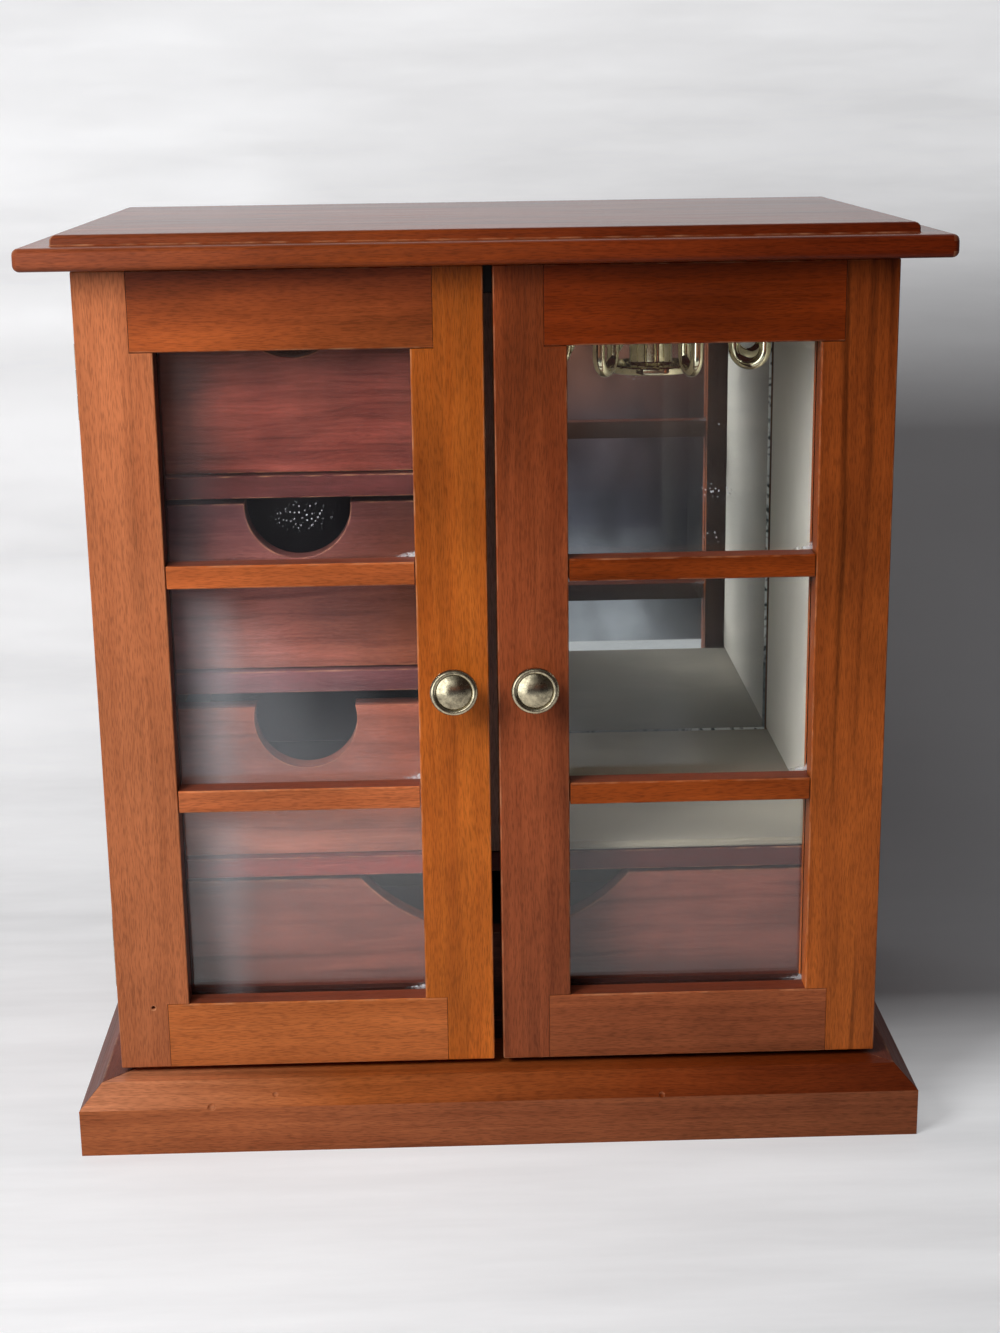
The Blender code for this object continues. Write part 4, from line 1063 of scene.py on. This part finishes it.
# Knobs: small cast and turned brass knobs, screwed through the inner stiles. A bright bead runs
# round a dark groove and a low dome, and handling has left the brass speckled.
KNOB_RADIUS = 0.0075
KNOB_BEAD = 0.001
KNOB_SETBACK = 0.0018
KNOB_DOME = 0.0014
KNOB_STEM = 0.0031
KNOB_FOOT = 0.0045
KNOB_PROJECTION = 0.013
KNOB_TAPER = 0.0036
KNOB_FOOT_THICKNESS = 0.001

bead = (KNOB_RADIUS - KNOB_BEAD, KNOB_PROJECTION - KNOB_SETBACK)
groove = bead[0] - KNOB_BEAD
dome_radius = (groove**2 + KNOB_DOME**2) / (2 * KNOB_DOME)
rim_angle = math.degrees(math.acos(groove / dome_radius))
flare = KNOB_FOOT - KNOB_STEM
flare_middle = (KNOB_FOOT, JOINT + KNOB_FOOT_THICKNESS + flare)
knob_outline = arc((0, KNOB_PROJECTION - dome_radius), dome_radius, 90, rim_angle, 10)
knob_outline += arc(bead, KNOB_BEAD, 180, -90, 14)
knob_outline += [(KNOB_STEM, bead[1] - KNOB_TAPER)]
knob_outline += arc(flare_middle, flare, 180, 270)
knob_outline += [(KNOB_FOOT, JOINT), (0, JOINT)]
handled = metal("handled_brass", (0.6, 0.52, 0.35), (0.12, 0.1, 0.066), 0.15, 0.6)
for door in ("left_door", "right_door"):
    low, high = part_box(f"{door}_knob")
    face_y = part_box(f"{door}_inner_stile")[0].y
    knob = turn(f"{door}_turned_knob", knob_outline)
    centre = Vector(((low.x + high.x) / 2, face_y, (low.z + high.z) / 2))
    knob.data.transform(Matrix.Translation(centre) @ Matrix.Rotation(math.pi / 2, 4, "X"))
    settle(knob, door, "aged_brass", handled, f"{door}_knob")


# Drawers: a thick cherry front with a round finger scoop, glued to a thin box of plainer boards.
# The inside of the box is flocked a dark blue-grey.
FRONT_ROUND = 0.0005
WALL_ROUND = 0.0003
SCOOP_CUT = 0.03
SCOOP_SIDES = 160
# Radius and depth of each scoop, then the pale tone, deep tone, streaks and flame of the front. The top
# front's tones are darkened as painted shade.
DRAWERS = {
    "top": (0.0168, 0.018, (0.215, 0.046, 0.032), (0.064, 0.012, 0.01), 0.7, 3),
    "middle": (0.0168, 0.018, (0.275, 0.081, 0.062), (0.137, 0.037, 0.029), 0.5, 2),
    "lower": (0.0168, 0.021, (0.46, 0.142, 0.084), (0.245, 0.068, 0.042), 0.5, 2),
    "wide": (0.0587, 0.021, (0.24, 0.074, 0.052), (0.128, 0.036, 0.026), 0.5, 2),
}
# Painted shade on the fronts: the middle front darker towards its top and its right end, the lower front
# darker in its upper part, and the wide front darker along its bottom.
DRAWER_PAINTED_SHADE = {
    "middle": [
        ("Z", 0.165, 0.205, (1.3, 1.48, 1.45), (0.55, 0.63, 0.85)),
        ("X", -0.07, -0.028, UNPAINTED, (0.62, 0.54, 0.38)),
    ],
    "lower": [("Z", 0.108, 0.116, (1.12, 1.1, 1.06), (0.68, 0.68, 0.72))],
    "wide": [("Z", 0.0404, 0.0539, (0.45, 0.4, 0.4), UNPAINTED)],
}
WALL_TONES = ((0.3, 0.15, 0.085), (0.19, 0.088, 0.048))
FLOCK_TONES = ((0.006, 0.006, 0.01), (0.024, 0.025, 0.036))

flocking, surface, place = new_finish("drawer_flock")
nap = cloud(place, 2200, 3, 0.7)
nap_dull = spread(nap, 0.3, 0.7, 0.88, 0.98)
wire(surface, Base_Color=tint(nap, *FLOCK_TONES), Roughness=nap_dull, Sheen_Weight=0.12)
relief(surface, nap, 0.3, 0.0003)
for size, (scoop_radius, scoop_depth, pale, deep, streaks, flame) in DRAWERS.items():
    drawer = f"{size}_drawer"
    low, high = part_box(f"{drawer}_front")
    front = block(f"{drawer}_scooped_front", low, high)
    scoop = ((low.x + high.x) / 2, low.y, high.z - scoop_depth + scoop_radius)
    carve(front, disc("scoop", scoop, scoop_radius, SCOOP_CUT, "y", SCOOP_SIDES))
    ease(front, FRONT_ROUND)
    painted_light = DRAWER_PAINTED_SHADE.get(size, ())
    face_finish = cherry(f"{drawer}_cherry", "x", pale, deep, streaks, flame=flame, fine=1.7, painted_light=painted_light)
    settle(front, drawer, "drawer_wood", face_finish, f"{drawer}_front")
    recoat(front, flocking, facing((0, 1, 0)))
    for wall_name, grain, inward in (
        ("left_side", "y", (1, 0, 0)),
        ("right_side", "y", (-1, 0, 0)),
        ("back", "x", FRONT),
        ("bottom", "x", UP),
    ):
        node = f"{drawer}_{wall_name}"
        wall = block(f"{node}_board", *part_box(node))
        ease(wall, WALL_ROUND, 2)
        settle(wall, drawer, "inner_board", cherry(f"{node}_wood", grain, *WALL_TONES, 0.3), node)
        recoat(wall, flocking, facing(inward))


# Stage: a pale paper sweep under and behind the cabinet, a soft window light at the left, a weak
# ceiling light, a glowing card seen only in reflections, painted with a room, a sky and a window
# for polished pieces to mirror, and the camera at the photograph's place.
SWEEP_BACK = 0.26
SWEEP_FRONT = -2.2
SWEEP_SIDE = 2.4
SWEEP_HEIGHT = 1.8
SWEEP_ROUND = 0.14
PAPER_TONES = ((0.56, 0.56, 0.57), (0.61, 0.61, 0.62))

deselect()
bpy.ops.mesh.primitive_plane_add(size=1, location=(0, (SWEEP_BACK + SWEEP_FRONT) / 2, 0))
bpy.context.object.scale = (2 * SWEEP_SIDE, SWEEP_BACK - SWEEP_FRONT, 1)
sweep = added("paper_sweep")
choose(sweep, "EDGE", lambda edge: along(edge, y=SWEEP_BACK))
extrude((0, 0, SWEEP_HEIGHT))
close_edit()
bevel(sweep, lambda edge: along(edge, y=SWEEP_BACK, z=0), SWEEP_ROUND, 16)
choose(sweep)
bpy.ops.mesh.normals_make_consistent(inside=True)
close_edit()
bpy.ops.object.shade_smooth()

paper, surface, place = new_finish("sweep_paper")
brushed = cloud(turned(place, stretch=(5, 36, 36)), detail=5, roughness=0.62)
wire(surface, Base_Color=tint(brushed, *PAPER_TONES), Roughness=0.9)
# The camera and polished pieces see the paper paler than the lamps light it, except at the right
spot = measured(place)
open_side = calc("MAXIMUM", spread(spot["X"], 0.1, -0.1), spread(spot["Z"], 0.18, 0.32))
open_side = calc("MAXIMUM", open_side, spread(spot["Y"], 0.03, -0.06))
paleness = times(open_side, spread(spot["Z"], 0, 0.12, 0.34, 0.46))
paleness = times(paleness, spread(brushed, 0.3, 0.7, 0.84, 1.14))
rays = beside("LightPath", place).outputs
seen = calc("MAXIMUM", rays["Is Camera Ray"], rays["Is Glossy Ray"])
seen = times(paleness, calc("MAXIMUM", seen, rays["Is Transmission Ray"]))
glow = wire(beside("Emission", place), Color=(0.985, 0.99, 1), Strength=seen)[0]
paper_front = wire(beside("AddShader", place), surface.outputs[0], glow)[0]
behind = beside("NewGeometry", place).outputs["Backfacing"]
unseen = beside("BsdfTransparent", place).outputs[0]
sides = wire(beside("MixShader", place), behind, paper_front, unseen)[0]
wire(paper.node_tree.nodes["Material Output"], Surface=sides)
sweep.data.materials.append(paper)

CARD_FOOT = (0, -0.42, 0.002)
CARD_WIDTH = 2.6
CARD_HEIGHT = 1.1
CARD_LEAN = math.radians(32)
CARD_TOP = 0.4
# The card glows with painted reflections: a dark room with a reddish band low down, a pale sky at the upper
# left and a bright window at the left, which the mirror, the glass and the brass show as painted highlights
# and reflections.
CARD_TONES = (
    (0, (0.345, 0.36, 0.39)),
    (0.04, (0.195, 0.204, 0.225)),
    (0.07, (0.052, 0.052, 0.068)),
    (0.13, (0.05, 0.04, 0.046)),
    (0.17, (0.215, 0.095, 0.066)),
    (0.22, (0.072, 0.048, 0.044)),
)
SKY_TONE = (0.8, 0.82, 0.84)
WINDOW_TONE = (2.6, 2.7, 2.8)
deselect()
bpy.ops.mesh.primitive_plane_add(size=1, location=(0, 0, 0))
card = added("painted_reflection_card")
sized = Matrix.Diagonal((CARD_WIDTH, CARD_HEIGHT, 1, 1)) @ Matrix.Translation((0, 0.5, 0))
leaning = Matrix.Rotation(math.pi / 2 + CARD_LEAN, 4, "X")
card.data.transform(Matrix.Translation(CARD_FOOT) @ leaning @ sized)
card_paint, unused_shader, place = new_finish("dark_card_paint")
spot = measured(place)
across, upward = spot["X"], spot["Z"]
room = beside("ValToRGB", place)
while len(room.color_ramp.elements) < len(CARD_TONES):
    room.color_ramp.elements.new(1)
for stop, (height, colour) in zip(room.color_ramp.elements, CARD_TONES):
    stop.position = height / CARD_TOP
    stop.color = (*colour, 1)
tone = wire(room, Fac=calc("DIVIDE", upward, CARD_TOP))["Color"]
folds = cloud(turned(place, turn=(0, 0.5, 0), stretch=(26, 26, 7)), detail=2)
tone = tint(1, tone, spread(folds, 0.3, 0.7, 0.4, 1.6), "MULTIPLY")
tone = tint(1, tone, spread(across, 0.1, 0.132, 1.25, 0.4), "MULTIPLY")
sky = times(spread(upward, 0.22, 0.27), spread(across, 0.09, -0.03))
tone = tint(sky, tone, SKY_TONE)
window = times(spread(across, -0.17, -0.2), spread(across, -0.85, -0.75))
tone = tint(window, tone, WINDOW_TONE)
glow = wire(beside("Emission", place), Color=tone)[0]
wire(card_paint.node_tree.nodes["Material Output"], Surface=glow)
card_paint.node_tree.nodes.remove(unused_shader)
card.data.materials.append(card_paint)
card.visible_camera = card.visible_diffuse = card.visible_shadow = False


def soft_lamp(name, place, aim, size, power):
    """A square lamp that the polished pieces don't mirror."""
    lamp = bpy.data.lights.new(name, "AREA")
    lamp.size = size
    lamp.energy = power
    holder = bpy.data.objects.new(name, lamp)
    bpy.context.scene.collection.objects.link(holder)
    holder.location = place
    holder.visible_glossy = False
    holder.rotation_euler = (Vector(aim) - Vector(place)).to_track_quat("-Z", "Y").to_euler()


soft_lamp("window_light", (-0.37, -0.43, 0.45), (0, -0.05, 0.14), 0.27, 3.2)
soft_lamp("ceiling_light", (-0.2, -0.6, 1.25), (0, 0, 0.15), 0.5, 1.7)

world = bpy.data.worlds.new("pale_room")
world.use_nodes = True
scene = bpy.context.scene
scene.world = world
wire(world.node_tree.nodes["Background"], Color=(0.95, 0.96, 1), Strength=0.12)

LENS = 57
SENSOR_WIDTH = 36
CAMERA_PLACE = (-0.0143, -0.7141, 0.3347)
CAMERA_YAW = 1.46
CAMERA_PITCH = -15.19
CAMERA_ROLL = -0.81

eye = bpy.data.cameras.new("photo_camera")
eye.lens = LENS
eye.sensor_width = SENSOR_WIDTH
camera = bpy.data.objects.new("photo_camera", eye)
scene.collection.objects.link(camera)
aim = Matrix.Rotation(math.radians(-CAMERA_YAW), 4, "Z")
aim @= Matrix.Rotation(math.radians(90 + CAMERA_PITCH), 4, "X")
aim @= Matrix.Rotation(math.radians(CAMERA_ROLL), 4, "Z")
camera.matrix_world = Matrix.Translation(CAMERA_PLACE) @ aim
scene.camera = camera
scene.view_settings.view_transform = "Standard"
